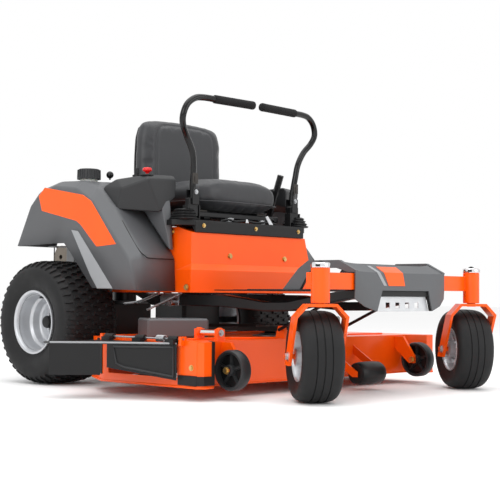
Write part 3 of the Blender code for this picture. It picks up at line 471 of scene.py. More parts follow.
def lug(bm, corners, middle):
    """A tapered block from (offset, turn in pitches) corners, standing on the carcass."""
    centre = [sum(c[k] for c in corners) / len(corners) for k in (0, 1)]
    rings = []
    for lift, keep in ((LUG_ROOT, 1.0), (LUG_HEIGHT, LUG_TAPER)):
        ring = []
        for offset, turn in corners:
            offset = centre[0] + (offset - centre[0]) * keep
            turn = (centre[1] + (turn - centre[1]) * keep) * PITCH
            radius = min(crown(offset) + lift, TREAD_TOP)
            ring.append(bm.verts.new(middle + Vector((offset, -radius * math.sin(turn),
                                                      radius * math.cos(turn)))))
        rings.append(ring)
    bm.faces.new(rings[0])
    bm.faces.new(rings[1])
    for i in range(len(corners)):
        j = (i + 1) % len(corners)
        bm.faces.new((rings[0][i], rings[0][j], rings[1][j], rings[1][i]))


def pitch_of_tread(middle):
    bm = bmesh.new()
    lug(bm, [(-0.013, -0.16), (0.0, -0.30), (0.013, -0.16), (0.013, 0.18), (0.0, 0.04), (-0.013, 0.18)], middle)
    for side in (-1, 1):
        lug(bm, [(side * a, t) for a, t in ((0.018, 0.32), (0.033, 0.20), (0.046, 0.32), (0.046, 0.66),
                                            (0.033, 0.54), (0.018, 0.66))], middle)
        lug(bm, [(side * a, t) for a, t in ((0.052, -0.16), (0.066, -0.28), (0.080, -0.16), (0.080, 0.20),
                                            (0.066, 0.08), (0.052, 0.20))], middle)
        lug(bm, [(side * a, t) for a, t in ((0.085, 0.30), (0.098, 0.24), (0.1125, 0.26), (0.1125, 0.56),
                                            (0.098, 0.66), (0.085, 0.62))], middle)
    return bm


# %% Rear tyres
for hand, middle in REAR_MIDDLE.items():
    axle = Matrix.Translation(middle) @ AXIS["X"]
    tread = grown(pitch_of_tread(middle), ROUND_AXLE, Copies=PITCHES, Centre=middle, Axle=(1, 0, 0),
                  Finish=FINISH["rubber"])
    turned(tread, tyre_profile(CARCASS, 0.1003, 0.098), axle, 96)
    piece("turf_tyre_" + hand, tread, "rubber", "rear_wheel_" + hand, ["rear_tyre_" + hand], angle=42)
print("turf tyres of", PITCHES, "pitches,", round(PITCH * TREAD_TOP * 1000), "mm each")

# %% [markdown]
# The rim is two steel dishes pressed and welded, then painted silver: a rolled flange that
# holds the bead, a stepped barrel, and a flat disc with the axle nut under a black cap.

# %% Rear rims
RIM = [(0.1130, 0.1000), (0.1145, 0.1080), (0.1138, 0.1108), (0.1105, 0.1118), (0.1065, 0.1095),
       (0.1035, 0.1040), (0.1000, 0.0960), (0.0975, 0.0800), (0.0965, 0.0560), (0.0940, 0.0520),
       (0.0880, 0.0500), (0.0850, 0.0460), (0.0835, 0.0240), (0.0800, 0.0180), (0.0720, 0.0160),
       (0.0560, 0.0165), (0.0500, 0.0200), (0.0440, 0.0260), (0.0300, 0.0270), (0.0170, 0.0270)]


def rim_profile(face, back_radius, seat_radius):
    """The outer face of a rim down to its bore, then the plain back dish and the bead seat."""
    flange = face[0][1]
    back = [(face[-1][0], -0.004), (back_radius * 0.6, -0.004), (back_radius * 0.92, -0.006),
            (back_radius, -flange * 0.6), (back_radius + 0.003, -flange + 0.004), (face[4][0], -face[4][1]),
            (face[3][0], -face[3][1]), (face[1][0], -face[1][1]), (face[0][0], -flange)]
    return face + back + [(seat_radius, -flange + 0.003), (seat_radius, flange - 0.003)]


for hand, side in HANDS.items():
    middle = REAR_MIDDLE[hand]
    axle = Matrix.Translation(middle) @ Matrix.Rotation(side * math.pi / 2, 4, "Y")
    wheel = bmesh.new()
    turned(wheel, rim_profile(RIM, 0.092, 0.0994), axle, 96)
    piece("pressed_rim_" + hand, wheel, "silver paint", "rear_wheel_" + hand, ["rear_rim_" + hand], angle=50)
    cap = bmesh.new()
    turned(cap, [(0.0150, 0.0560), (0.0200, 0.0540), (0.0225, 0.0480), (0.0230, 0.0290), (0.0280, 0.0275),
                 (0.0280, 0.0262), (0.0130, 0.0262), (0.0130, 0.0450), (0.0005, 0.0450), (0.0005, 0.0560)],
           axle, 32)
    stem = axle @ Matrix.Translation((0.0885, 0.0, 0.0))
    turned(cap, [(0.0052, 0.0490), (0.0056, 0.0560), (0.0040, 0.0620), (0.0038, 0.0800), (0.0005, 0.0810),
                 (0.0005, 0.0490)], stem, 16)
    piece("hub_cap_and_valve_" + hand, cap, "black plastic", "rear_wheel_" + hand)
    studs = [(middle + Vector((side * 0.0265, 0.036 * math.cos(a), 0.036 * math.sin(a))), (side, 0, 0))
             for a in (2 * math.pi * k / 5 for k in range(5))]
    bolts("wheel_bolts_" + hand, studs, "rear_wheel_" + hand, 15.0, "zinc")
print("two pressed rims, 8 inch bead seats")

# %% [markdown]
# ## Casters
#
# The front wheels trail behind upright kingpins in folded forks, and both happen to stand
# turned. Their tyres have no lugs, only shallow grooves moulded round the crown so that
# they pivot without scuffing. Everything on a caster is built straight and then placed by
# one matrix, the way the real sub-assembly is bolted up before it is fitted.

# %% Caster placement
CASTER_TURN = Matrix.Rotation(math.radians(-36), 4, "Z")
TRAIL = Vector((0.0, 0.070, 0.140))
KINGPIN = {hand: Matrix.Translation((side * 0.409, -1.197, 0.0)) @ CASTER_TURN for hand, side in HANDS.items()}
RIBBED = [(0.0690, 0.0470), (0.0760, 0.0520), (0.0850, 0.0560), (0.0980, 0.0620), (0.1120, 0.0650),
          (0.1240, 0.0625), (0.1325, 0.0530), (0.1368, 0.0400), (0.1384, 0.0300)]
CROWN_GROOVES = [(0.1388, 0.0252), (0.1362, 0.0240), (0.1362, 0.0226), (0.1391, 0.0214), (0.1397, 0.0100),
                 (0.1399, 0.0022), (0.1374, 0.0012)]

# %% Ribbed tyres and dished front rims
FRONT_RIM = [(0.0755, 0.0480), (0.0765, 0.0535), (0.0755, 0.0552), (0.0728, 0.0556), (0.0700, 0.0535),
             (0.0672, 0.0480), (0.0655, 0.0300), (0.0630, 0.0200), (0.0580, 0.0150), (0.0480, 0.0140),
             (0.0330, 0.0180), (0.0290, 0.0240), (0.0275, 0.0590), (0.0250, 0.0605), (0.0095, 0.0605)]
for hand, kingpin in KINGPIN.items():
    axle = kingpin @ Matrix.Translation(TRAIL) @ AXIS["X"]
    over = [(v.x, v.y) for v in smooth([(r, a, 0) for r, a in RIBBED], 3)] + CROWN_GROOVES
    tyre = bmesh.new()
    turned(tyre, over + [(r, -a) for r, a in reversed(over)] + [(0.0684, -0.046), (0.0684, 0.046)], axle, 96)
    made = piece("ribbed_tyre_" + hand, tyre, "rubber", "front_wheel_" + hand, ["front_tyre_" + hand], angle=60)
    dish = bmesh.new()
    both_faces = FRONT_RIM + [(r, -a) for r, a in reversed(FRONT_RIM)] + [(0.0676, -0.045), (0.0676, 0.045)]
    turned(dish, both_faces, axle, 72)
    rib = bmesh.new()
    for face in (-1, 1):
        web = [(0.028, 0.012), (0.062, 0.012), (0.064, 0.030), (0.040, 0.027), (0.027, 0.044)]
        plate(rib, [(r, face * a) for r, a in web], "Y", -0.0022, 0.0022)
    lay_down = kingpin @ Matrix.Translation(TRAIL) @ Matrix(((0, 0, 1, 0), (0, 1, 0, 0), (1, 0, 0, 0),
                                                             (0, 0, 0, 1)))
    bmesh.ops.transform(rib, matrix=lay_down, verts=rib.verts)
    centre = kingpin @ TRAIL
    spokes = grown(rib, ROUND_AXLE, Copies=9, Centre=centre, Axle=kingpin.to_3x3() @ Vector((1, 0, 0)),
                   Finish=FINISH["silver paint"])
    piece("front_rim_webs_" + hand, spokes, "silver paint", "front_wheel_" + hand, round_mm=0.8)
    piece("dished_rim_" + hand, dish, "silver paint", "front_wheel_" + hand, ["front_rim_" + hand], angle=45)
print("caster wheels at", [tuple(round(c, 3) for c in k @ TRAIL) for k in KINGPIN.values()])

# %% [markdown]
# The fork is a thick strap folded over the wheel and welded to its kingpin, powder coated
# orange. Its CAD shape is already right, so it is kept and its edges are softened. The
# kingpin ends under a bright pressed cap, and a long bolt runs through as the axle.

# %% Forks, kingpin caps and axle bolts
for hand, kingpin in KINGPIN.items():
    softened("fork_" + hand, "orange", 2.5)
    cap = bmesh.new()
    turned(cap, [(0.0287, 0.4080), (0.0292, 0.4100), (0.0292, 0.4205), (0.0262, 0.4232), (0.0215, 0.4240),
                 (0.0205, 0.4222), (0.0005, 0.4214), (0.0005, 0.4080)], kingpin, 48)
    piece("kingpin_cap_" + hand, cap, "chrome", "caster_" + hand, angle=50)
    nut = bmesh.new()
    rod(nut, kingpin @ Vector((0, 0, 0.4245)), "Z", 0.0105, 0.0060, 6)
    rod(nut, kingpin @ Vector((0, 0, 0.4275)), "Z", 0.0050, 0.0050, 16)
    for part in range(3):
        angle = 2 * math.pi * part / 3
        place = kingpin @ Matrix.Rotation(angle, 4, "Z")
        block(nut, (0.0286, 0.0296), (-0.007, 0.007), (0.4105, 0.4185), place)
    piece("kingpin_nut_" + hand, nut, "black plastic", "caster_" + hand, round_mm=0.6)
    ends = [(kingpin @ (TRAIL + Vector((reach * 0.0832, 0, 0))), kingpin.to_3x3() @ Vector((reach, 0, 0)))
            for reach in (-1, 1)]
    bolts("axle_bolt_heads_" + hand, ends, "caster_" + hand, 21.0, "zinc")
softened("front_axle_beam", "orange", 2.5)
print("forks and beam softened by 2.5 mm")

# %% [markdown]
# ## Fenders and consoles
#
# Each fender is one large ABS moulding over the rear wheel. It runs in long flat facets
# with soft creases, carries the console on its inner edge, and turns down to a skirt in
# front of the wheel. A loft through shaped lines gives the facets, a 10 mm bevel rounds
# the creases between them as a mould does, and Solidify gives the 4 mm wall.

# %% Fender skin
FENDER_LINES = [  # x, then (y, z) from the rear edge over the top and down to the front skirt
    (0.3135, [(0.226, 0.505), (0.150, 0.668), (0.094, 0.722), (0.010, 0.738), (-0.120, 0.736), (-0.215, 0.728),
              (-0.300, 0.640), (-0.452, 0.452), (-0.459, 0.337)]),
    (0.4550, [(0.224, 0.505), (0.148, 0.666), (0.092, 0.720), (0.006, 0.738), (-0.120, 0.733), (-0.215, 0.706),
              (-0.312, 0.618), (-0.446, 0.458), (-0.462, 0.337)]),
    (0.5000, [(0.219, 0.504), (0.137, 0.651), (0.084, 0.696), (-0.002, 0.716), (-0.130, 0.702), (-0.221, 0.651),
              (-0.325, 0.545), (-0.429, 0.440), (-0.470, 0.338)]),
    (0.5000, [(0.190, 0.503), (0.120, 0.505), (0.060, 0.506), (-0.010, 0.507), (-0.070, 0.507), (-0.105, 0.475),
              (-0.165, 0.415), (-0.233, 0.346), (-0.350, 0.341)]),
]
DECAL = [(0.084, 0.685), (0.048, 0.714), (-0.176, 0.675), (-0.221, 0.651), (-0.360, 0.496), (-0.255, 0.490),
         (-0.167, 0.568), (-0.141, 0.584), (0.064, 0.629)]
POD = [(0.290, -0.436, 0.728), (0.398, -0.404, 0.726), (0.290, -0.420, 0.744), (0.385, -0.385, 0.744),
       (0.448, -0.322, 0.694), (0.430, -0.270, 0.730), (0.448, -0.225, 0.705), (0.290, -0.205, 0.738),
       (0.290, -0.433, 0.668), (0.350, -0.418, 0.610), (0.448, -0.302, 0.620), (0.448, -0.225, 0.680),
       (0.290, -0.215, 0.700)]


def fender_skin(side):
    bm = bmesh.new()
    grid = [[bm.verts.new((side * x, y, z)) for y, z in line] for x, line in FENDER_LINES]
    for upper, lower in zip(grid, grid[1:]):
        for i in range(len(upper) - 1):
            face = (upper[i], upper[i + 1], lower[i + 1], lower[i])
            bm.faces.new(face if side > 0 else face[::-1])
    bm.normal_update()
    return bm


for hand, side in HANDS.items():
    data = bpy.data.meshes.new("fender_skin_" + hand)
    skin = fender_skin(side)
    bmesh.ops.translate(skin, verts=skin.verts, vec=REAR_AXLE)
    skin.to_mesh(data)
    skin.free()
    fender = dress(bpy.data.objects.new("fender_moulding_" + hand, data), "grey plastic", "frame",
                   ["fender_" + hand],
                   round_mm=10, angle=7)
    fender.modifiers["rounded edges"].segments = 4
    wall = fender.modifiers.new("wall", "SOLIDIFY")
    wall.thickness = 0.004
    wall.offset = -1.0
print("fender lines:", len(FENDER_LINES), "by", len(FENDER_LINES[0][1]))

# %% [markdown]
# The console pod is a separate facetted housing let into the fender's top. A closed hull
# through its corners with rounded edges is exactly how its surfaces meet. A second small
# hull is the cheek that fills the fender's inner front corner. The coloured side panel and
# the paler step beside the wheel arch are thin plates that stand a millimetre proud of the
# side, and a thin dark tube draws the shut line where the skirt meets the body.

# %% Pods, side panels and arch bands
CHEEK = [(0.3140, -0.447, 0.480), (0.3300, -0.447, 0.480), (0.3140, -0.430, 0.655), (0.3450, -0.415, 0.650),
         (0.3450, -0.300, 0.650), (0.3140, -0.300, 0.650), (0.3140, -0.400, 0.500)]
ARCH_BAND = [(-0.112, 0.5530), (-0.150, 0.5480), (-0.345, 0.3440), (-0.262, 0.3440), (-0.2230, 0.3900)]
SHUT_LINE = [(0.4505, -0.296, 0.624), (0.4560, -0.340, 0.578), (0.4560, -0.420, 0.484),
             (0.4480, -0.4515, 0.4560), (0.4300, -0.4590, 0.4480), (0.3200, -0.4575, 0.4470)]
for hand, side in HANDS.items():
    pod = bmesh.new()
    for point in mirror_x(POD, side):
        pod.verts.new(point)
    bmesh.ops.convex_hull(pod, input=pod.verts)
    bmesh.ops.dissolve_limit(pod, angle_limit=math.radians(9), verts=pod.verts, edges=pod.edges)
    piece("console_pod_" + hand, pod, "deep plastic", "frame", round_mm=6, angle=12)
    cheek = bmesh.new()
    for point in mirror_x(CHEEK, side):
        cheek.verts.new(point)
    bmesh.ops.convex_hull(cheek, input=cheek.verts)
    bmesh.ops.dissolve_limit(cheek, angle_limit=math.radians(3), verts=cheek.verts, edges=cheek.edges)
    piece("console_cheek_" + hand, cheek, "grey plastic", "frame", round_mm=3, angle=12)
    panel = bmesh.new()
    plate(panel, DECAL, "X", *sorted((side * 0.4975, side * 0.5012)))
    piece("side_panel_" + hand, panel, "orange", "frame", round_mm=0.8)
    band = bmesh.new()
    plate(band, ARCH_BAND, "X", *sorted((side * 0.4970, side * 0.5008)))
    piece("arch_band_" + hand, band, "pale plastic", "frame", round_mm=0.6)
    gap = bmesh.new()
    tube(gap, smooth(mirror_x(SHUT_LINE, side), 4), 0.0020, 8)
    piece("fender_shut_line_" + hand, gap, "black plastic", "frame", angle=60)
print("side panel of", len(DECAL), "corners, no lettering")

# %% Fuel cap with finger ribs, and the neck it screws on
CAP_MIDDLE = Vector((-0.400, -0.083, 0.7425))
at_cap = Matrix.Translation(CAP_MIDDLE)
rib = bmesh.new()
rod(rib, CAP_MIDDLE + Vector((0.0408, 0, 0.019)), "Z", 0.0026, 0.032, 8, 0.0018)
cap = grown(rib, ROUND_AXLE, Copies=26, Centre=CAP_MIDDLE, Axle=(0, 0, 1), Finish=FINISH["black plastic"])
turned(cap, [(0.0432, 0.0005), (0.0434, 0.0060), (0.0412, 0.0080), (0.0400, 0.0320), (0.0385, 0.0365),
             (0.0350, 0.0385), (0.0300, 0.0390), (0.0285, 0.0370), (0.0120, 0.0370), (0.0100, 0.0395),
             (0.0005, 0.0395), (0.0005, 0.0150), (0.0330, 0.0130), (0.0330, 0.0005)], at_cap, 64)
piece("ribbed_fuel_cap", cap, "deep plastic", "fuel_cap", ["fuel_cap"], angle=35)
print("26 finger ribs on the fuel cap")

# %% [markdown]
# ## Seat
#
# The seat is foam under grained vinyl on a steel pan: a thick cushion whose front rolls
# over, and a low back with a welted inner panel. Both are padded goods, so they are made
# as such. Each starts a little small, is remeshed, and is blown up by the cloth solver
# until it is taut. How far a point may travel is capped, and the result is applied.

# %% The swelling recipe
CLOTH_FRAMES = 20


def swollen(name, bm, cap_mm, pressure=4.0, voxel=0.006):
    """The shape as a stuffed pad."""
    bmesh.ops.recalc_face_normals(bm, faces=bm.faces)
    bmesh.ops.translate(bm, verts=bm.verts, vec=REAR_AXLE)
    data = bpy.data.meshes.new(name)
    bm.to_mesh(data)
    bm.free()
    pad = bpy.data.objects.new(name, data)
    bpy.context.scene.collection.objects.link(pad)
    remesh = pad.modifiers.new("even skin", "REMESH")
    remesh.mode = "VOXEL"
    remesh.voxel_size = voxel
    soft = pad.modifiers.new("relax", "SMOOTH")
    soft.factor, soft.iterations = 0.5, 12
    settled = bpy.data.meshes.new_from_object(pad.evaluated_get(bpy.context.evaluated_depsgraph_get()))
    pad.modifiers.clear()
    pad.data = settled
    before = [v.co.copy() for v in settled.vertices]
    cloth = pad.modifiers.new("vinyl", "CLOTH")
    cloth.settings.use_pressure = True
    cloth.settings.uniform_pressure_force = pressure
    cloth.settings.effector_weights.gravity = 0.0
    cloth.settings.quality = 4
    for moment in range(1, CLOTH_FRAMES + 1):
        bpy.context.scene.frame_set(moment)
    blown = bpy.data.meshes.new_from_object(pad.evaluated_get(bpy.context.evaluated_depsgraph_get()))
    pad.modifiers.clear()
    bpy.context.scene.frame_set(1)
    for vertex, old in zip(blown.vertices, before):
        move = vertex.co - old
        if move.length > cap_mm / 1000:
            vertex.co = old + move.normalized() * (cap_mm / 1000)
    pad.data = blown
    pad.data.shade_smooth()
    return pad


FINISH["vinyl"] = finish("calendered seat vinyl, dark grey", ("#2c2d2f", "#36373a"), (0.36, 0.48), 130, 2.4,
                         0.06,
                         cells=True, Sheen_Weight=0.05, Specular_IOR_Level=0.4)

# %% Cushion: a crowned pad whose front tucks under
CUSHION = [  # y, lowest z, highest z, half width
    (-0.490, 0.672, 0.716, 0.130), (-0.480, 0.648, 0.734, 0.175), (-0.455, 0.636, 0.742, 0.205),
    (-0.410, 0.632, 0.744, 0.222), (-0.340, 0.632, 0.742, 0.226), (-0.260, 0.632, 0.740, 0.224),
    (-0.215, 0.634, 0.738, 0.210), (-0.195, 0.642, 0.730, 0.190)]


def rounded_section(half_width, low, high, y, count=28, power=3.2):
    """A flattened ring across the pad."""
    ring = []
    for k in range(count):
        angle = 2 * math.pi * k / count
        c, s = math.cos(angle), math.sin(angle)
        x = half_width * math.copysign(abs(c) ** (2 / power), c)
        z = (low + high) / 2 + (high - low) / 2 * math.copysign(abs(s) ** (2 / power), s)
        ring.append((x, y, z))
    return ring


def lofted(rings):
    bm = bmesh.new()
    made = [[bm.verts.new(p) for p in ring] for ring in rings]
    for ring, following in zip(made, made[1:]):
        for k in range(len(ring)):
            j = (k + 1) % len(ring)
            bm.faces.new((ring[k], ring[j], following[j], following[k]))
    bm.faces.new(made[0])
    bm.faces.new(made[-1])
    return bm


cushion = swollen("padded_cushion", lofted([rounded_section(w, low, high, y) for y, low, high, w in CUSHION]),
                  5)
print("cushion skin:", len(cushion.data.vertices), "points")

# %% Seat back: a rounded slab, then a welt pressed in along its inner panel
BACK_HALF = [(0.000, 0.668), (0.160, 0.668), (0.205, 0.690), (0.216, 0.770), (0.214, 0.880), (0.204, 0.948),
             (0.168, 0.986), (0.000, 0.997)]
BACK_OUTLINE = BACK_HALF + [(-x, z) for x, z in reversed(BACK_HALF[1:-1])]
outline = [(v.x, v.y) for v in smooth([(x, z, 0) for x, z in BACK_OUTLINE], 4, closed=True)]
BACK_MIDDLE_Z = 0.830
rings = []
for y, keep in ((-0.168, 0.86), (-0.160, 0.95), (-0.145, 1.0), (-0.122, 1.0), (-0.107, 0.95), (-0.100, 0.84)):
    rings.append([(x * keep, y, BACK_MIDDLE_Z + (z - BACK_MIDDLE_Z) * keep) for x, z in outline])
back = swollen("padded_back", lofted(rings), 8)


WELT_HALF_WIDTH, WELT_UP, WELT_DOWN = 0.152, 0.120, 0.200
WELT_MIDDLE_Z = 0.850
WELT_SHARE = 0.030   # width of the groove as a share of its distance from the middle
WELT_DEPTH = 0.0055
BACK_FRONT_Y = -0.142


def welt_depth(x, z):
    """From 0 to 1: how deep the sewn welt is pressed at a point of the back's front."""
    reach_x = abs(x) / WELT_HALF_WIDTH
    reach_z = abs(z - WELT_MIDDLE_Z) / (WELT_UP if z > WELT_MIDDLE_Z else WELT_DOWN)
    rim = (reach_x**5 + reach_z**5) ** 0.2
    return math.exp(-((rim - 1.0) / WELT_SHARE) ** 2)


for vertex in back.data.vertices:
    x, y, z = vertex.co - REAR_AXLE
    if y < BACK_FRONT_Y:
        vertex.co.y += WELT_DEPTH * welt_depth(x, z)
print("back skin:", len(back.data.vertices), "points")

# %% Both pads take their finish, one subdivision and their body
for pad, node in ((cushion, "seat_cushion"), (back, "seat_back")):
    bpy.context.scene.collection.objects.unlink(pad)
    dress(pad, "vinyl", "seat", [node], angle=180)
    finer = pad.modifiers.new("finer skin", "SUBSURF")
    finer.levels = finer.render_levels = 1

# %% [markdown]
# A cord of piping closes the cushion's seam, a plastic shell backs the seat, and the pan
# below sits on two slides. Piping follows the seam, so it is a tube on a smooth line.

# %% Piping, back shell and slides
SHELL_KEEP = 0.90
seam = [(-0.1750, -0.4830), (-0.2180, -0.4500), (-0.2350, -0.4000), (-0.2360, -0.3100), (-0.2330, -0.2400),
        (-0.2050, -0.1980), (0.0, -0.1900)]
seam += [(-x, y) for x, y in reversed(seam[:-1])] + [(0.100, -0.4970), (0.0, -0.4990), (-0.100, -0.4970)]
trim = bmesh.new()
around = smooth([(x * 0.97, y * 0.995, 0.6600) for x, y in seam], 6, closed=True)
tube(trim, around + [around[0]], 0.0020, 10)
piece("cushion_piping", trim, "vinyl", "seat")
shell = bmesh.new()
plate(shell, [(x * SHELL_KEEP, BACK_MIDDLE_Z + (z - BACK_MIDDLE_Z) * SHELL_KEEP) for x, z in outline],
      "Y", -0.1010, -0.0935)
piece("seat_back_shell", shell, "black plastic", "seat", round_mm=3)
slides = bmesh.new()
for x in (-0.150, 0.150):
    block(slides, (x - 0.018, x + 0.018), (-0.430, -0.180), (0.6226, 0.6310))
piece("seat_slides", slides, "dark steel", "seat", round_mm=1)
softened("seat_pan", "black coat", 2)

# %% [markdown]
# ## Controls
#
# Two enamelled steel bars rise from clevis hubs at the tray, kink outward, and turn in
# over the lap, where foam grips nearly meet. Each bar is one bent tube, so it is swept
# along a smooth line. Its bolts are plated, and a rubber bellows keeps grass out below.
# The bellows is bolted to the tray, so it rides the frame and stays as it is while the
# hub above it tilts through its 14 degrees.

# %% Lap bars and grips
BAR_LINE = [(0.262, -0.489, 0.668), (0.263, -0.489, 0.702), (0.265, -0.492, 0.725), (0.270, -0.499, 0.775),
            (0.280, -0.503, 0.825), (0.309, -0.505, 0.873), (0.338, -0.517, 0.910), (0.348, -0.528, 0.944),
            (0.333, -0.533, 0.982), (0.300, -0.537, 1.006), (0.262, -0.540, 1.012), (0.215, -0.543, 1.012)]
for hand, side in HANDS.items():
    bar = bmesh.new()
    tube(bar, smooth(mirror_x(BAR_LINE, side), 7), 0.0114, 24)
    piece("bent_bar_" + hand, bar, "gloss bar", "lap_bar_" + hand, ["lap_bar_" + hand], angle=60)
    grip = bmesh.new()
    ends = [Vector(p) for p in mirror_x([(0.2146, -0.5432, 1.0120), (0.020, -0.551, 1.0120)], side)]
    stations = [0.0, 0.012, 0.03, 0.9, 0.93, 0.97, 0.99, 1.0]
    swell = [0.0125, 0.0147, 0.0150, 0.0150, 0.0154, 0.0154, 0.0145, 0.0120]
    tube(grip, [ends[0].lerp(ends[1], t) for t in stations], swell, 32)
    piece("foam_grip_" + hand, grip, "foam", "lap_bar_" + hand, ["grip_" + hand], angle=60)
    softened("lever_hub_" + hand, "black coat", 1.2)
    pin = [((side * 0.262, -0.5064, 0.684), (0, -1, 0)), ((side * 0.262, -0.4716, 0.684), (0, 1, 0))]
    bolts("clevis_bolts_" + hand, pin, "lever_hub_" + hand, 12.0, "zinc")
    strap = bmesh.new()
    block(strap, sorted((side * 0.2540, side * 0.2780)), (-0.5075, -0.5035), (0.712, 0.750))
    block(strap, sorted((side * 0.2610, side * 0.2710)), (-0.5100, -0.5070), (0.718, 0.740))
    piece("height_strap_" + hand, strap, "dark steel", "lap_bar_" + hand, round_mm=1)
print("lap bars span", round(2 * 0.348, 3), "m")

# %% Bellows under the hubs: nine rings in and out, each a little smaller than the last
BOOT_RINGS, BOOT_STEP, BOOT_FOLD = 9, 0.0050, 0.006
for hand, side in HANDS.items():
    folds = []
    for level in range(BOOT_RINGS):
        fold = BOOT_FOLD if level % 2 else 0.0
        wide = 0.040 - 0.0020 * level + fold
        deep = 0.044 - 0.0024 * level + fold
        height = 0.5845 + BOOT_STEP * level
        ring = []
        for k in range(32):
            angle = 2 * math.pi * k / 32
            c, s = math.cos(angle), math.sin(angle)
            x = side * 0.290 + wide * math.copysign(abs(c) ** 0.5, c) * (0.9 if c * side < 0 else 1.05)
            ring.append((x, -0.478 + deep * math.copysign(abs(s) ** 0.5, s), height))
        folds.append(ring)
    piece("lever_boot_" + hand, lofted(folds), "black plastic", "frame", round_mm=0.8)
print("bellows of 4 folds each")

# %% Console knobs
knob = bmesh.new()
stand = Matrix.Translation((-0.372, -0.372, 0.0))
turned(knob, [(0.0005, 0.7700), (0.0080, 0.7698), (0.0130, 0.7685), (0.0160, 0.7655), (0.0166, 0.7610),
              (0.0155, 0.7575), (0.0110, 0.7545), (0.0070, 0.7520), (0.0058, 0.7490), (0.0058, 0.7462),
              (0.0005, 0.7462)], stand, 40)
piece("blade_engagement_knob", knob, "red knob", "pto_knob", ["pto_knob"])
ball = bmesh.new()
rod(ball, (-0.350, -0.142, 0.7485), "Z", 0.0032, 0.0130, 12)
bmesh.ops.create_uvsphere(ball, u_segments=28, v_segments=18, radius=0.0135,
                          matrix=Matrix.Translation((-0.350, -0.142, 0.7600)))
piece("throttle_ball", ball, "gloss bar", "throttle_lever", ["throttle_lever"])
softened("ignition_key", "black plastic", 0.8)
softened("lift_lever", "black coat", 1.5)
surround = bmesh.new()
turned(surround, [(0.0260, 0.7430), (0.0240, 0.7452), (0.0185, 0.7455), (0.0180, 0.7400), (0.0260, 0.7400)],
       stand, 32)
turned(surround, [(0.0150, 0.7440), (0.0140, 0.7455), (0.0100, 0.7455), (0.0095, 0.7400), (0.0150, 0.7400)],
       Matrix.Translation((-0.380, -0.325, 0.0)), 24)
piece("console_bezels", surround, "black plastic", "frame", angle=35)
print("knobs, key and their bezels on the console")

# %% [markdown]
# ## Seat box and lever tray
#
# The box is folded from one orange sheet and bolted in from the front with yellow zinc
# bolts. Above it the black tray carries the lever pivots, with loom, springs and
# fasteners showing along its edge. Bolts go on by rule at the punched places.

# %% Box, tray and their bolts
softened("seat_box", "orange", 3.0)
softened("lever_tray", "black plastic", 2.0)
front = Vector((0, -1, -0.12))
bolts("seat_box_bolts", [((-0.120, -0.5345, 0.462), front), ((0.170, -0.5345, 0.459), front),
                         ((-0.3025, -0.430, 0.545), (-1, 0, -0.1)), ((0.3025, -0.430, 0.545), (1, 0, -0.1)),
                         ((-0.3375, -0.540, 0.350), (-1, 0, 0)), ((0.3375, -0.540, 0.350), (1, 0, 0))],
      "frame", 15.0)
bolts("tray_bolts", [((x, -0.5290, 0.566), (0, -1, 0)) for x in (-0.245, 0.020, 0.255)], "frame", 11.0)
print("box and tray bolts set")

# %% Under-seat hardware: springs, loom and the slide's bright link
COIL_RADIUS, COIL_LENGTH, COIL_STEPS = 0.014, 0.0135, 120
coil = bmesh.new()
for x in (-0.085, 0.085):
    path = []
    for k in range(COIL_STEPS + 1):
        angle = 2 * math.pi * k / 20
        path.append((x + COIL_RADIUS * math.cos(angle), -0.498 + COIL_RADIUS * math.sin(angle),
                     0.5865 + COIL_LENGTH * k / COIL_STEPS))
    tube(coil, path, 0.0016, 8)
piece("seat_springs", coil, "zinc", "frame")
loom = bmesh.new()
tube(loom, smooth([(-0.140, -0.505, 0.588), (-0.110, -0.516, 0.594), (-0.070, -0.512, 0.590),
                   (-0.020, -0.518, 0.5935), (0.040, -0.512, 0.590), (0.090, -0.517, 0.5935),
                   (0.150, -0.508, 0.590)], 6), 0.0042, 12)
tube(loom, smooth([(0.070, -0.500, 0.588), (0.095, -0.512, 0.603), (0.135, -0.505, 0.608),
                   (0.165, -0.490, 0.590)], 6),
     0.0034, 12)
piece("wiring_loom", loom, "black plastic", "frame")
link = bmesh.new()
plate(link, [(0.100, 0.5860), (0.122, 0.5860), (0.092, 0.6180), (0.080, 0.6130)], "Y", -0.5220, -0.5190)
plate(link, [(-0.030, 0.5860), (-0.014, 0.5860), (-0.020, 0.5990), (-0.028, 0.5990)], "Y", -0.5260, -0.5235)
piece("seat_switch_brackets", link, "tread plate", "frame", round_mm=0.6)
print("loom and springs added")

# %% [markdown]
# ## Front shield, badge and step
#
# The shield in front of the feet is another grey moulding, arched back to the floor on
# either side. It carries an orange badge panel with a pale stripe, left plain here, and a
# bright plate step hangs under it between dark moulded legs. A black bar across the step's
# top is painted shadow, the dark gap under the shield's lip.

# %% Shield and what it carries
softened("foot_fascia", "grey plastic", 2.0, angle=24)
softened("step_tread", "tread plate", 1.2)


SLOPE = [(0.4250, -1.1600), (0.3990, -1.2000), (0.3500, -1.2140)]   # (z, y) down the shield's middle


def slope_y(z):
    for (z0, y0), (z1, y1) in zip(SLOPE, SLOPE[1:]):
        if z >= z1:
            return y0 + (y1 - y0) * (z0 - z) / (z0 - z1)
    return SLOPE[-1][1]


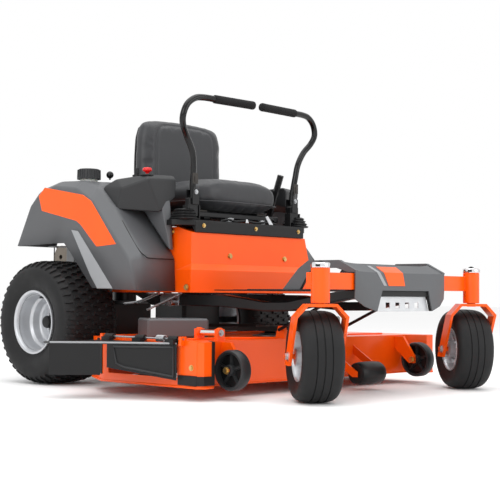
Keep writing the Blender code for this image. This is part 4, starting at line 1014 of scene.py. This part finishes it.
def foil(name, top, low, z_top, z_low, look, proud=0.0012):
    """A thin panel that follows the slope between two pairs of x limits."""
    bm = bmesh.new()
    rows = []
    for z in [z_top] + [z for z, _ in SLOPE if z_low < z < z_top] + [z_low]:
        share = (z_top - z) / (z_top - z_low)
        limits = [a + (b - a) * share for a, b in zip(top, low)]
        rows.append([[Vector((x, slope_y(z) - lift,
                              z + lift * 0.3)) for x in limits] for lift in (proud, -0.0015)])
    verts = [[[bm.verts.new(v) for v in side] for side in row] for row in rows]
    for upper, lower in zip(verts, verts[1:]):
        for k, face in ((0, 0), (1, 1)):
            bm.faces.new((upper[k][0], upper[k][1], lower[k][1], lower[k][0]))
            bm.faces.new((upper[0][face], lower[0][face], lower[1][face], upper[1][face]))
    for end in (verts[0], verts[-1]):
        bm.faces.new((end[0][0], end[0][1], end[1][1], end[1][0]))
    return piece(name, bm, look, "frame", round_mm=0.5)


foil("badge_panel", (-0.104, 0.002), (-0.090, -0.004), 0.4180, 0.3570, "orange", 0.0016)
foil("badge_stripe", (-0.147, -0.130), (-0.115, -0.100), 0.4200, 0.3570, "pale plastic")
surround = bmesh.new()
for side in (-1, 1):
    leg = [(side * 0.126, 0.3420), (side * 0.138, 0.3420), (side * 0.160, 0.2760), (side * 0.147, 0.2760)]
    plate(surround, leg, "Y", -1.2085, -1.1990)
# Painted shadow: this black bar across the step's top stands in for the shade in the gap under the lip.
plate(surround, [(-0.128, 0.3420), (0.128, 0.3420), (0.124, 0.3230), (-0.124, 0.3230)], "Y", -1.2080, -1.2010)
piece("step_legs_and_shadow_bar", surround, "black plastic", "frame", round_mm=1.5)
softened("foot_pan", "black coat", 1.0)
rubber = bmesh.new()
block(rubber, (-0.150, 0.150), (-0.990, -0.987), (0.3434, 0.3460))
mat_ribs = grown(rubber, IN_A_ROW, Copies=28, Step=(0, 0.0125, 0), Finish=FINISH["rubber"])
block(mat_ribs, (-0.200, 0.200), (-1.000, -0.630), (0.3432, 0.3442))
piece("foot_mat", mat_ribs, "rubber", "frame", round_mm=0.5)
print("badge panel kept blank")

# %% [markdown]
# ## Mower deck
#
# The deck is stamped and welded steel with a rolled lower lip. The CAD shell gives its
# plan and openings, and its edges are softened here. Added over it are the rolled lip, the
# side plate with its bolt, black plates low on the wall and at the corners, the hanger rod,
# stiffening ribs on top, and four bolts round each spindle.

# %% Deck shell and rolled lip
SPINDLES = ((-0.400, -0.490), (0.0, -0.620), (0.400, -0.490))
softened("deck_shell", "orange", 2.0)
LIP = [(-0.520, -0.2685), (-0.6170, -0.4350), (-0.6170, -0.8890), (-0.6028, -0.9015), (-0.5640, -0.9015),
       (-0.5210, -0.8335), (0.0, -0.8335)]
lip = bmesh.new()
half_lip = [Vector((x, y, 0.0420)) for x, y in LIP]
whole_lip = half_lip + [Vector((-v.x, v.y, v.z)) for v in reversed(half_lip[:-1])]
tube(lip, whole_lip, 0.0042, 10)
piece("rolled_lip", lip, "orange", "deck", angle=60)
hardware = [((x + 0.048 * math.cos(a), y + 0.048 * math.sin(a), 0.1802), (0, 0, 1))
            for x, y in SPINDLES
            for a in (math.radians(45 + 90 * k) for k in range(4))]
bolts("spindle_flange_bolts", hardware, "deck", 11.0, "zinc")
housing = bmesh.new()
for x, y in SPINDLES:
    turned(housing, [(0.0630, 0.1803), (0.0630, 0.1835), (0.0450, 0.1860), (0.0340, 0.1880), (0.0300, 0.1905),
                     (0.0225, 0.1905), (0.0225, 0.1803)], Matrix.Translation((x, y, 0)), 40)
piece("spindle_housings", housing, "cast", "deck", angle=35)
ribs = bmesh.new()
for side in (-1, 1):
    plate(ribs, mirror_x([(0.170, -0.800), (0.300, -0.700), (0.500, -0.720), (0.500, -0.745), (0.310, -0.728),
                          (0.185, -0.822)], side), "Z", 0.179, 0.1855)
    plate(ribs, mirror_x([(0.060, -0.300), (0.480, -0.300), (0.480, -0.318), (0.060, -0.318)], side), "Z",
          0.179, 0.1850)
piece("deck_stiffeners", ribs, "orange", "deck", round_mm=2)
print("lip swept through", len(whole_lip), "corners")

# %% Side plate, black plates and hanger rod
HANGER = Vector((-0.457, -0.776, 0.2040))
side_gear = bmesh.new()
block(side_gear, (-0.6205, -0.6165), (-0.8880, -0.8100), (0.0790, 0.1835))
piece("side_plate", side_gear, "orange", "deck", round_mm=1.5)
bands = bmesh.new()
block(bands, (-0.6225, -0.6160), (-0.8890, -0.8060), (0.0480, 0.0775))
plate(bands, [(-0.6225, -0.8890), (-0.6180, -0.8890), (-0.6030, -0.9030), (-0.5700, -0.9030),
              (-0.5700, -0.9060), (-0.6060, -0.9060)], "Z", 0.0480, 0.0765)
plate(bands, [(-0.5200, -0.8355), (-0.5630, -0.9035), (-0.5720, -0.9035), (-0.5720, -0.9062),
              (-0.5600, -0.9062), (-0.5160, -0.8370)], "Z", 0.0480, 0.1815)
plate(bands, [(-0.6185, -0.4395), (-0.5680, -0.3519), (-0.5697, -0.3509), (-0.6202, -0.4385)], "Z", 0.0620,
      0.1780)
piece("black_deck_plates", bands, "black plastic", "deck", round_mm=1.2)
bolts("side_plate_bolts", [((-0.6206, -0.866, 0.102), (-1, 0, 0))], "deck", 13.0)
hanger = bmesh.new()
rod(hanger, HANGER, "Y", 0.0098, 0.0790, 24)
piece("bright_hanger_rod", hanger, "chrome", "deck", angle=50)
ears = bmesh.new()
for y in (-0.7300, -0.8220):
    rod(ears, (HANGER.x, y, HANGER.z), "Y", 0.0165, 0.0140, 28)
piece("hanger_ears", ears, "orange", "deck", round_mm=2)
bolts("hanger_bolts", [((HANGER.x, -0.8290, HANGER.z), (0, -1, 0)), ((HANGER.x, -0.7230, HANGER.z), (0, 1, 0))],
      "deck", 15.0, "zinc")
softened("belt_cover_right", "grey plastic", 3.0)
softened("belt_cover_left", "grey plastic", 3.0)
print("deck hardware on body deck")

# %% [markdown]
# The discharge guard is a black moulding hinged on a rod: a top plate, a front wall that
# carries a long panel in a raised frame, and an outer flap. A pale tube along the top
# plate's outer edge is a painted highlight, the light that edge catches. The frame is a
# tube swept round the panel's own corners, and a coil spring folds the guard down again.

# %% Discharge guard
softened("chute_deflector", "black plastic", 2.0)
WALL_FROM, WALL_TO = Vector((-0.6365, -0.8158, 0)), Vector((-0.7560, -0.6280, 0))


def on_wall(t, z, proud=0.0):
    """A point on the guard's front wall, t of the way outward."""
    outward = Vector((-0.844, -0.537, 0.0))
    spot = WALL_FROM.lerp(WALL_TO, t) + outward * proud
    return Vector((spot.x, spot.y, z))


panel_corners = [on_wall(0.045, 0.074, 0.001), on_wall(0.045, 0.163, 0.001), on_wall(0.90, 0.163, 0.001),
                 on_wall(0.86, 0.112, 0.001), on_wall(0.74, 0.100, 0.001)]
rim = bmesh.new()
tube(rim, panel_corners + [panel_corners[0]], 0.0036, 12)
piece("guard_panel_rim", rim, "deep plastic", "chute", angle=60)
# Painted highlight: a pale tube on the top plate's outer edge stands in for the light the edge catches.
edge = bmesh.new()
tube(edge, [(-0.6360, -0.8150, 0.1748), (-0.7610, -0.6210, 0.1748), (-0.8790, -0.5015, 0.1748)], 0.0030, 10)
piece("guard_edge_painted_highlight", edge, "pale plastic", "chute", angle=60)
SPRING_RADIUS, SPRING_LENGTH, SPRING_STEPS = 0.0098, 0.035, 160
spring = bmesh.new()
path = [(-0.6285 + SPRING_RADIUS * math.cos(a), -0.755 + SPRING_LENGTH * k / SPRING_STEPS,
         0.188 + SPRING_RADIUS * math.sin(a))
        for k, a in ((k, 2 * math.pi * k / 16) for k in range(SPRING_STEPS + 1))]
tube(spring, path, 0.0013, 8)
piece("guard_return_spring", spring, "zinc", "deck")
print("guard on body chute")

# %% [markdown]
# Gauge wheels stop the deck scalping a bump: a black nylon rim on a thin web with five
# ribbed spokes. One spoke is modelled and the axle rule repeats it. A bolt closes each end
# of the axle. The roller at the front is plain and crowned.

# %% Gauge wheels
GAUGE_X, GAUGE_Y, GAUGE_Z = 0.490, -0.914, 0.092
ROLLER = Vector((0.137, -0.953, 0.0585))
RIM_RING = [(0.0632, 0.0130), (0.0632, -0.0130), (0.0600, -0.0195), (0.0550, -0.0205), (0.0520, -0.0185),
            (0.0505, -0.0100), (0.0505, 0.0100), (0.0520, 0.0185), (0.0550, 0.0205), (0.0600, 0.0195)]
HUB_RING = [(0.0165, 0.0205), (0.0175, 0.0190), (0.0175, -0.0190), (0.0165, -0.0205), (0.0064, -0.0205),
            (0.0064, 0.0205)]
for hand, side in HANDS.items():
    middle = Vector((side * GAUGE_X, GAUGE_Y, GAUGE_Z))
    axle = Matrix.Translation(middle) @ AXIS["X"]
    spoke = bmesh.new()
    block(spoke, (middle.x - 0.0075, middle.x + 0.0075), (middle.y - 0.0050, middle.y + 0.0050),
          (middle.z + 0.0150, middle.z + 0.0525))
    block(spoke, (middle.x - 0.0110, middle.x + 0.0110), (middle.y - 0.0018, middle.y + 0.0018),
          (middle.z + 0.0150, middle.z + 0.0525))
    wheel = grown(spoke, ROUND_AXLE, Copies=5, Centre=middle, Axle=(1, 0, 0), Finish=FINISH["black plastic"])
    turned(wheel, RIM_RING, axle, 64)
    turned(wheel, HUB_RING, axle, 32)
    piece("spoked_gauge_wheel_" + hand, wheel, "deep plastic", "gauge_wheel_" + hand, ["gauge_wheel_" + hand],
          angle=35)
    web = bmesh.new()
    rod(web, middle, "X", 0.0510, 0.0050, 48)
    piece("gauge_wheel_web_" + hand, web, "black plastic", "gauge_wheel_" + hand)
    bolts("gauge_wheel_bolt_" + hand, [(middle + Vector((side * 0.0292, 0, 0)), (side, 0, 0)),
                                       (middle + Vector((side * -0.0392, 0, 0)), (-side, 0, 0))], "deck", 17.0)
crowned = bmesh.new()
turned(crowned, [(0.0300, 0.0648), (0.0345, 0.0630), (0.0380, 0.0560), (0.0395, 0.0400), (0.0404, 0.0),
                 (0.0395, -0.0400), (0.0380, -0.0560), (0.0345, -0.0630), (0.0300, -0.0648), (0.0100, -0.0640),
                 (0.0054, -0.0640), (0.0054, 0.0640), (0.0100, 0.0640)],
       Matrix.Translation(ROLLER) @ AXIS["X"], 48)
piece("crowned_roller", crowned, "black plastic", "front_roller", ["front_roller"], angle=40)
print("five spokes a gauge wheel")

# %% [markdown]
# ## Engine bay
#
# Behind the seat sits a vertical-shaft engine: a cast crankcase, a black blower housing
# with a rotating screen, a finned cylinder, a silencer behind a barred guard, and an air
# cleaner. Fins and guard bars march in a line, so they use the row rule.

# %% Engine
CRANK_MIDDLE = Vector((0.0, 0.240, 0.0))
CRANK = Matrix.Translation(CRANK_MIDDLE)
softened("engine_block", "cast", 2.0)
housing = bmesh.new()
turned(housing, [(0.0700, 0.6380), (0.0760, 0.6400), (0.1180, 0.6340), (0.1440, 0.6180), (0.1550, 0.5960),
                 (0.1560, 0.5310), (0.1500, 0.5310), (0.1490, 0.5930), (0.1390, 0.6120), (0.1150, 0.6270),
                 (0.0700, 0.6300)], CRANK, 72)
piece("blower_housing", housing, "black plastic", "frame", ["engine_shroud"], angle=30)
blade = bmesh.new()
block(blade, (0.018, 0.069), (0.2388, 0.2412), (0.624, 0.6340))
screen = grown(blade, ROUND_AXLE, Copies=30, Centre=CRANK_MIDDLE, Axle=(0, 0, 1),
               Finish=FINISH["black plastic"])
for radius in (0.020, 0.036, 0.052, 0.069):
    turned(screen, [(radius + 0.0018, 0.6350), (radius + 0.0018, 0.6310), (radius - 0.0018, 0.6310),
                    (radius - 0.0018, 0.6350)], CRANK, 48)
piece("debris_screen", screen, "black plastic", "frame", angle=35)
fin = bmesh.new()
plate(fin, [(-0.074, 0.336), (0.074, 0.336), (0.074, 0.428), (-0.074, 0.428)], "Z", 0.4300, 0.4325)
fins = grown(fin, IN_A_ROW, Copies=12, Step=(0, 0, 0.0085), Finish=FINISH["cast"])
piece("cylinder_fins", fins, "cast", "frame", round_mm=0.5)
cleaner = bmesh.new()
block(cleaner, (-0.160, -0.110), (0.170, 0.320), (0.5350, 0.6200))
piece("air_cleaner", cleaner, "black plastic", "frame", round_mm=10)
lead = bmesh.new()
tube(lead, smooth([(0.030, 0.432, 0.500), (0.070, 0.448, 0.512), (0.120, 0.400, 0.540), (0.130, 0.350, 0.560)],
                  6), 0.0038, 12)
piece("plug_lead", lead, "black plastic", "frame")
rocker = bmesh.new()
block(rocker, (-0.042, 0.042), (0.426, 0.4385), (0.446, 0.508))
piece("rocker_cover", rocker, "cast", "frame", round_mm=3)
print("12 cylinder fins, 30 screen blades")

# %% Silencer, its guard, and the rear bumper tube
silencer = bmesh.new()
turned(silencer, [(0.0430, 0.0900), (0.0478, 0.0870), (0.0478, -0.0870), (0.0430, -0.0900), (0.0100, -0.0900),
                  (0.0100, 0.0900)], Matrix.Translation((0.0, 0.487, 0.478)) @ AXIS["X"], 48)
turned(silencer, [(0.0160, 0.0), (0.0160, -0.030), (0.0135, -0.030), (0.0135, 0.0)],
       Matrix.Translation((0.060, 0.487, 0.4330)), 24)
piece("silencer", silencer, "hot steel", "frame", ["muffler"], angle=40)
guard_bar = bmesh.new()
plate(guard_bar, [(0.5350, 0.4330), (0.5372, 0.4330), (0.5372, 0.5230), (0.5350, 0.5230)], "X", -0.0890,
      -0.0840)
guard = grown(guard_bar, IN_A_ROW, Copies=13, Step=(0.01395, 0, 0), Finish=FINISH["black coat"])
for low, high in ((0.4300, 0.4370), (0.5190, 0.5260)):
    block(guard, (-0.0950, 0.0950), (0.5338, 0.5384), (low, high))
for x in (-0.0920, 0.0920):
    block(guard, (x - 0.003, x + 0.003), (0.4800, 0.5384), (0.4300, 0.4365))
piece("silencer_guard", guard, "black coat", "frame", round_mm=0.6)
bumper = [(0.205, 0.453, 0.3700), (0.205, 0.480, 0.3680), (0.208, 0.520, 0.345), (0.190, 0.552, 0.328),
          (0.130, 0.555, 0.325)]
bar = bmesh.new()
tube(bar, smooth(bumper + mirror_x(bumper[::-1], -1), 8), 0.0124, 24)
piece("rear_bumper", bar, "black coat", "frame", ["rear_guard"], angle=60)
print("silencer guard of 13 bars")

# %% [markdown]
# ## Drive under the body
#
# Under the box sit the hydrostatic transaxles with their fans, the belt, the blade clutch,
# the pulleys and the height linkage. They show only in glimpses, so each keeps its CAD
# shape with its facets joined and some edges softened, and a few parts that catch light
# are added. The side rails of the frame are orange steel, and they are given the black coat
# here as painted shade, the dark they sit in under the body.

# %% Transaxles, clutch and what glints beside them
for hand, side in HANDS.items():
    softened("transaxle_" + hand, "black coat", 2.5)
    centre = Vector((side * 0.170, -0.020, 0.3480))
    vane = bmesh.new()
    block(vane, (centre.x + 0.008, centre.x + 0.052), (centre.y - 0.001, centre.y + 0.001), (0.3465, 0.3560))
    fan = grown(vane, ROUND_AXLE, Copies=8, Centre=centre, Axle=(0, 0, 1), Finish=FINISH["black plastic"])
    rod(fan, (centre.x, centre.y, 0.3500), "Z", 0.0120, 0.0140, 20)
    piece("cooling_fan_" + hand, fan, "black plastic", "frame")
    gear = bmesh.new()
    tube(gear, smooth([(side * 0.270, -0.140, 0.290), (side * 0.300, -0.260, 0.300),
                       (side * 0.318, -0.380, 0.330)], 6),
         0.0050, 12)
    tube(gear, smooth([(side * 0.245, -0.420, 0.330), (side * 0.300, -0.330, 0.280),
                       (side * 0.300, -0.300, 0.270)], 6),
         0.0040, 12)
    piece("drive_control_rod_" + hand, gear, "zinc", "frame")
    hangers = bmesh.new()
    rod(hangers, (side * 0.242, -0.360, 0.3000), "X", 0.0160, 0.0180, 24)
    rod(hangers, (side * 0.246, -0.360, 0.3000), "X", 0.0090, 0.0260, 6)
    block(hangers, sorted((side * 0.226, side * 0.232)), (-0.390, -0.290), (0.286, 0.330))
    piece("lift_arm_pivot_" + hand, hangers, "zinc", "frame", round_mm=1)
# The frame rails take the black coat as painted shade: their steel is orange, and the black stands in for the
# shade under the body.
for node, look, round_mm in (("crank_pulley", "dark steel", 0), ("deck_belt", "belt", 0),
                             ("deck_link", "black coat", 0), ("chute_hinge_rod", "zinc", 0),
                             ("spindle_right", "dark steel", 0), ("spindle_centre", "dark steel", 0),
                             ("spindle_left", "dark steel", 0), ("frame_rail_right", "black coat", 0),
                             ("frame_rail_left", "black coat", 0), ("fuel_tank", "tank", 0),
                             ("engine_plate", "black coat", 0)):
    softened(node, look, round_mm, angle=40)
for place in ("right", "centre", "left"):
    softened("blade_" + place, "dark steel", 0.6)
softened("battery", "black plastic", 2.0)
print(len(made_pieces), "pieces so far")

# %% Fender brackets, and black posts under the seat as painted shade
extras = bmesh.new()
for side in (-1, 1):
    block(extras, sorted((side * 0.330, side * 0.334)), (0.085, 0.130), (0.440, 0.515))
    block(extras, sorted((side * 0.330, side * 0.420)), (0.085, 0.130), (0.500, 0.5035))
piece("fender_brackets", extras, "pale plastic", "frame", round_mm=1)
# Painted shade: two black posts under the seat fill the see-through gap between the rails with the dark that
# sits there.
shade_posts = bmesh.new()
for x, y in ((-0.150, -0.240), (0.150, -0.240)):
    block(shade_posts, (x - 0.012, x + 0.012), (y - 0.012, y + 0.012), (0.330, 0.598))
piece("under_seat_shade_posts", shade_posts, "black coat", "frame", round_mm=2)
print("brackets in place")

# %% [markdown]
# ## Floor, light and camera
#
# A pale seamless floor, a big soft light overhead, a broad key from the front left and a
# weaker fill on the right: the usual catalogue set-up. The Standard view transform shows
# a saturated paint as it is, where a film-like one would pale the orange. The camera
# stands low and far, so the long lens keeps the machine's lines nearly parallel.

# %% Floor
sweep = bmesh.new()
bmesh.ops.create_grid(sweep, x_segments=1, y_segments=1, size=30.0)
data = bpy.data.meshes.new("studio_floor")
sweep.to_mesh(data)
sweep.free()
floor = bpy.data.objects.new("studio_floor", data)
bpy.context.scene.collection.objects.link(floor)
PAPER = finish("white studio paper", ("#f4f4f4", "#f8f8f8"), (0.85, 0.95), 900, 8.0, 0.01)
floor.data.materials.append(PAPER)

# %% Lights
def soft_light(name, place, aim, size, watts):
    lamp = bpy.data.lights.new(name, "AREA")
    lamp.size = size
    lamp.energy = watts
    made = bpy.data.objects.new(name, lamp)
    made.location = place
    made.rotation_euler = (Vector(aim) - Vector(place)).to_track_quat("-Z", "Y").to_euler()
    bpy.context.scene.collection.objects.link(made)


MIDDLE = (0.0, 0.0, 0.45)
ROOM_STRENGTH = 1.0
soft_light("overhead", (-0.3, -0.4, 4.2), MIDDLE, 4.5, 110)
soft_light("key", (-4.4, -1.6, 2.6), MIDDLE, 2.6, 60)
soft_light("fill", (1.6, -4.6, 1.9), MIDDLE, 2.6, 40)
bpy.context.scene.view_settings.view_transform = "Standard"
world = bpy.context.scene.world or bpy.data.worlds.new("studio")
bpy.context.scene.world = world
world.use_nodes = True
world.node_tree.nodes["Background"].inputs["Color"].default_value = (1.0, 1.0, 1.0, 1.0)
world.node_tree.nodes["Background"].inputs["Strength"].default_value = ROOM_STRENGTH
print("three soft lights and a white room")

# %% Camera
AZIMUTH, PITCH_UP, ROLL = (math.radians(a) for a in (-46.525, 2.241, 0.426))
STAND = Vector((-3.0601, -3.4203, 0.3240))
FOCAL_MM = 83.37
ahead = Vector((-math.sin(AZIMUTH) * math.cos(PITCH_UP), math.cos(AZIMUTH) * math.cos(PITCH_UP),
                math.sin(PITCH_UP)))
level = Vector((math.cos(AZIMUTH), math.sin(AZIMUTH), 0.0))
upward = level.cross(ahead)
right = level * math.cos(ROLL) + upward * math.sin(ROLL)
top = upward * math.cos(ROLL) - level * math.sin(ROLL)
lens = bpy.data.cameras.new("catalogue camera")
lens.lens = FOCAL_MM
lens.clip_end = 60.0
camera = bpy.data.objects.new("catalogue camera", lens)
bpy.context.scene.collection.objects.link(camera)
camera.matrix_world = (Matrix.Translation(STAND + REAR_AXLE)
                       @ Matrix((right, top, -ahead)).transposed().to_4x4())
bpy.context.scene.camera = camera
print("camera", round((camera.location - Vector(MIDDLE)).length, 2), "m away")
